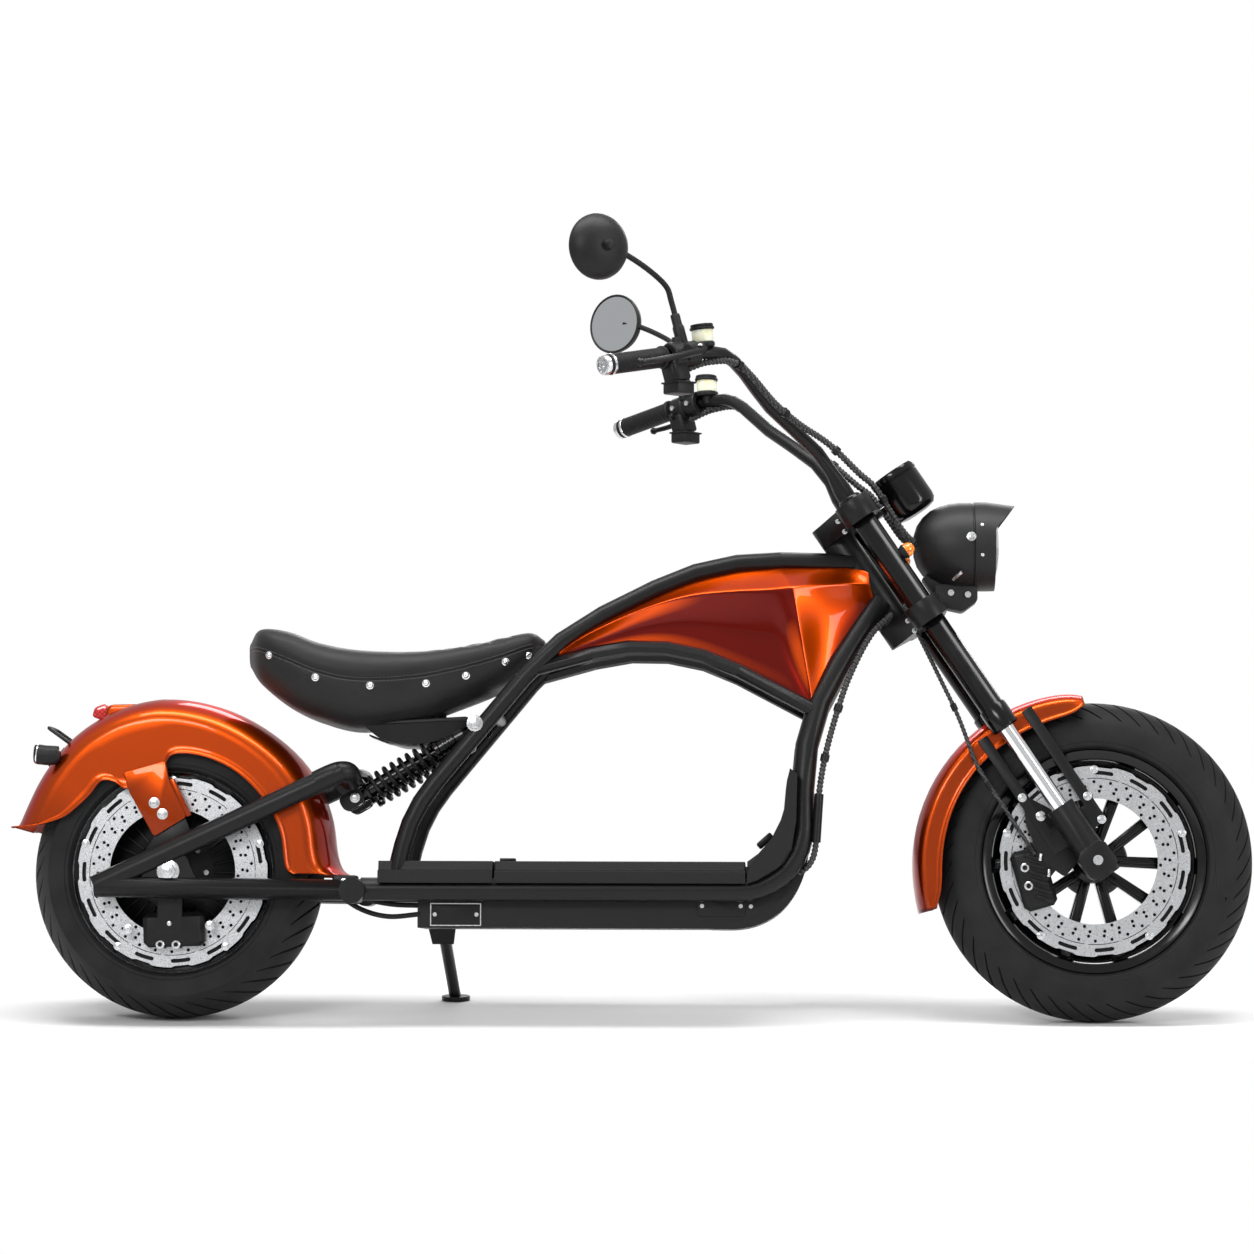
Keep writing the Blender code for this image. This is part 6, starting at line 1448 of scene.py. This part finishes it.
def make_box_fittings():
    """The battery box's curved nose, its two bare plates, the deck's hinge leaves, seal and latch."""
    outer = [(point.x, point.y) for point in curve([(x, z, 0.0) for x, z in BOX_NOSE], 5)]
    inner = [(x - 0.01, z + 0.012) for x, z in reversed(outer)]
    piece("battery_box_nose", side_slab(outer + inner, 0.0, 2 * BOX_SIDE + 0.001), PLASTIC)
    plates, borders, screws, leaves = [], [], [], []
    for _, side in SIDES:
        for edges in (REAR_PLATE, FRONT_PLATE):
            plates.append(side_slab(frame_of(*edges), side * (BOX_SIDE + 0.0008), 0.0024, 0.0004, 0.002))
            left, right, low, high = edges
            for x in (left + 0.0075, right - 0.0075):
                screws.append((x, side * (BOX_SIDE + 0.002), (low + high) / 2))
        rim = slab([frame_of(*REAR_PLATE), frame_of(*REAR_PLATE, PLATE_EDGE)], 0.0012)
        borders.append(placed(rim, side_on((0.0, side * (BOX_SIDE + 0.0024), 0.0))))
        screws.append((0.206, side * (BOX_SIDE + 0.001), 0.186))
        leaves.append(block((0.026, 0.02, 0.006), 0.0018, place=at((-0.189, side * 0.112, 0.26))))
    piece("box_plates", added(*plates), BLACK)
    piece("box_plate_borders", added(*borders), STEEL)
    heads = [bolt_at(place, ACROSS * copysign(1.0, place[1]), 0.0034, 0.0022, "socket") for place in screws]
    piece("box_plate_screws", added(*heads), ZINC)
    piece("lid_hinge_leaves", added(*leaves), BLACK, "battery_lid")
    piece("deck_seal", block((0.0065, 0.262, 0.022), 0.001, place=at((0.201, 0.0, 0.239))), GRIP)
    latch = axes((0.229, 0.0, 0.296), (0.021, 0.0, 0.019), (-0.019, 0.0, 0.021))
    piece("deck_latch", block((0.03, 0.046, 0.011), 0.0025, place=latch), BLACK)


FRONT_HOSE = mm(
    (456, -55, 683), (513, -90, 561), (544, -92, 495), (570, -90, 426), (586, -88, 397), (617, -85, 350),
    (650, -80, 300), (668, -76, 272),
)
FRAME_LOOM = mm(
    (437, -45, 668), (401, -65, 630), (366, -85, 561), (343, -100, 493), (326, -110, 428), (316, -118, 365),
    (311, -120, 286), (302, -112, 256), (284, -98, 240),
)
REAR_LOOMS = (
    mm((-470, -100, 206), (-430, -100, 180), (-385, -98, 168), (-333, -96, 172)),
    mm((-470, -92, 214), (-425, -92, 197), (-380, -92, 188), (-333, -92, 186)),
)
BAR_LOOM = mm(
    (98, -300, 1036), (140, -285, 1052), (188, -258, 1050), (243.5, -200, 997), (284, -150, 969),
    (333, -110, 941), (382, -85, 897), (407, -75, 876), (432, -58, 840), (457, -45, 803), (482, -20, 782),
)
LOOM_BOOT = mm((316.5, -117.5, 368), (314, -119, 330), (311.5, -120, 290))
WRAP_PITCH = 0.007


def evenly(path, step):
    """Points at even steps along a path."""
    spaced, reach = [path[0]], step
    for before, after in zip(path, path[1:]):
        length = (after - before).length
        while reach <= length:
            spaced.append(before.lerp(after, reach / length))
            reach += step
        reach -= length
    return spaced


def wrapped(points, radius):
    """A loom in a spiral wrap, which shows as even beads along it."""
    path = evenly(curve(points, 12), WRAP_PITCH / 4)
    return swept(path, radius, 10, [(0.8, 1.0, 1.1, 1.0)[index % 4] for index in range(len(path))])


def ties(points, radius, shares, length=0.008):
    """Cable clips at shares of the way along a loom."""
    path = evenly(curve(points, 12), 0.002)
    inner, outer, half = radius * 0.7, radius * 1.45, length / 2
    band = [(inner, -half), (outer, -half), (outer, half), (inner, half)]
    places = [int(share * (len(path) - 2)) for share in shares]
    return added(
        *[spun_at(path[spot], path[spot + 1] - path[spot], band, 20, closed=True) for spot in places]
    )


def make_looms():
    for name, route, radius, shares, length, body in (
        ("front_brake_hose", FRONT_HOSE, 0.0036, (0.42, 0.72, 0.98), 0.012, "steering"),
        ("frame_loom", FRAME_LOOM, 0.005, (0.4, 0.58, 0.72), 0.011, "chassis"),
    ):
        piece(name, wrapped(route, radius), SLEEVE, body)
        piece(name + "_clips", ties(route, radius, shares, length), BLACK, body)
    piece("frame_loom_boot", swept(curve(LOOM_BOOT, 6), 0.0075, 16), BLACK)
    piece("rear_looms", added(*[swept(curve(route, 8), 0.0042, 12) for route in REAR_LOOMS]), GRIP)
    for name, side in SIDES:
        route = [(x, -y * side, z) for x, y, z in BAR_LOOM]
        piece("bar_loom_" + name, wrapped(route, 0.0054), SLEEVE, "steering")
        piece("bar_loom_clips_" + name, ties(route, 0.0054, (0.18, 0.4, 0.62, 0.82)), BLACK, "steering")


CRESCENT = mm(
    (-433, 483), (-404, 460), (-373, 450.5), (-340, 449.5), (-306, 455), (-270, 470), (-252, 486),
    (-258, 496), (-361, 490.5),
)
ELBOW = mm(
    (-500, 140, 385), (-480, 140, 394.5), (-464, 138, 400.5), (-452, 130, 401), (-447, 118, 396),
    (-447, 104, 389),
)


def make_seat_pan():
    """The crescent plate under the saddle, and the swingarm's upper tubes bending in to the shocks."""
    piece("seat_pan_crescent", side_slab(CRESCENT, 0.0, 0.168, 0.003, 0.006), BLACK)
    for name, side in SIDES:
        route = curve([(x, y * side, z) for x, y, z in ELBOW], 5)
        piece("swingarm_elbow_" + name, swept(route, 0.018, 24), BLACK)


make_seat_pan()
make_caliper_parts()
make_steering_bolts()
make_rear_axle_nuts()
make_box_fittings()
make_looms()


# The setting

SHADOW_REACH = (1.15, 0.6)  # half axes of the floor's oval, beyond which it fades to white


def make_floor():
    """A pale floor that takes the shadow near the scooter and fades to white for the camera."""
    shape = bmesh.new()
    bmesh.ops.create_grid(shape, x_segments=1, y_segments=1, size=30.0)
    floor = shown("floor", meshed(shape, "floor"))
    floor.location = (0.0, 0.0, -0.0005)
    made, tree, shader, where = finish("pale_floor", "#FFFFFF", 0.9, specular_ior_level=0.0)
    tree.links.new(between(tree, speckle(tree, where, 400.0), 0.93, 0.95), shader.inputs["Base Color"])
    shares = (1 / SHADOW_REACH[0], 1 / SHADOW_REACH[1], 0.0)
    flat = node(tree, "ShaderNodeVectorMath", {0: where, 1: shares}, operation="MULTIPLY")
    out = node(tree, "ShaderNodeVectorMath", {0: flat.outputs[0]}, operation="LENGTH")
    far = node(
        tree, "ShaderNodeMapRange", {"Value": out.outputs["Value"], "From Min": 0.85, "From Max": 1.25}
    )
    seen = node(tree, "ShaderNodeLightPath").outputs["Is Camera Ray"]
    share = node(tree, "ShaderNodeMath", {0: far.outputs["Result"], 1: seen}, operation="MULTIPLY")
    white = node(tree, "ShaderNodeEmission", {"Color": (1.0, 1.0, 1.0, 1.0), "Strength": 1.0})
    mixed = node(
        tree, "ShaderNodeMixShader", {0: share.outputs[0], 1: shader.outputs[0], 2: white.outputs[0]}
    )
    tree.links.new(mixed.outputs[0], tree.nodes["Material Output"].inputs["Surface"])
    floor.data.materials.append(made)


# Each lamp's name, place, aim, size and power.
LAMPS = (
    ("overhead", (0.0, -0.5, 3.0), (0.0, 0.0, 0.3), (3.4, 0.9), 95.0),
    ("camera_side", (-1.6, -4.2, 2.6), (0.0, 0.0, 0.5), (1.6, 0.8), 75.0),
    ("front_side", (3.2, -2.4, 1.6), (0.2, 0.0, 0.5), (0.7, 1.8), 45.0),
    ("behind", (0.4, 3.4, 2.3), (0.0, 0.0, 0.5), (3.0, 1.0), 60.0),
)


def faced(obj, place, aim):
    """Puts a lamp or camera at a place, turned towards another."""
    obj.location = place
    obj.rotation_euler = (Vector(aim) - Vector(place)).to_track_quat("-Z", "Y").to_euler()
    return obj


def make_light():
    """A plain bright surround, a large lamp overhead and three soft ones round the scooter."""
    world = bpy.data.worlds.new("studio")
    world.use_nodes = True
    bpy.context.scene.world = world
    tree = world.node_tree
    tree.nodes.clear()
    seen = node(tree, "ShaderNodeLightPath")
    plain, mirrored, white = (node(
        tree, "ShaderNodeBackground", {"Color": (1.0, 1.0, 1.0, 1.0), "Strength": strength},
    ).outputs[0] for strength in (0.45, 0.72, 1.0))
    clear = {0: seen.outputs["Is Camera Ray"], 1: seen.outputs["Is Transmission Ray"]}
    either = node(tree, "ShaderNodeMath", clear, operation="MAXIMUM")
    lit = node(tree, "ShaderNodeMixShader", {0: seen.outputs["Is Glossy Ray"], 1: plain, 2: mirrored})
    mixed = node(tree, "ShaderNodeMixShader", {0: either.outputs[0], 1: lit.outputs[0], 2: white})
    node(tree, "ShaderNodeOutputWorld", {"Surface": mixed.outputs[0]})
    for name, place, aim, size, power in LAMPS:
        lamp = bpy.data.lights.new(name, "AREA")
        lamp.shape = "RECTANGLE"
        lamp.size, lamp.size_y = size
        lamp.energy = power
        faced(shown(name, lamp), place, aim)


CAMERA_PLACE = (0.2, -7.1, 0.92)
CAMERA_AIM = (-0.02, -0.06, 0.645)
VIEW_ANGLE = radians(16.8)


def make_camera():
    camera = bpy.data.cameras.new("camera")
    camera.sensor_fit = "HORIZONTAL"
    camera.angle = VIEW_ANGLE
    bpy.context.scene.camera = faced(shown("camera", camera), CAMERA_PLACE, CAMERA_AIM)


make_floor()
make_light()
make_camera()
bpy.context.scene.view_settings.view_transform = "Standard"
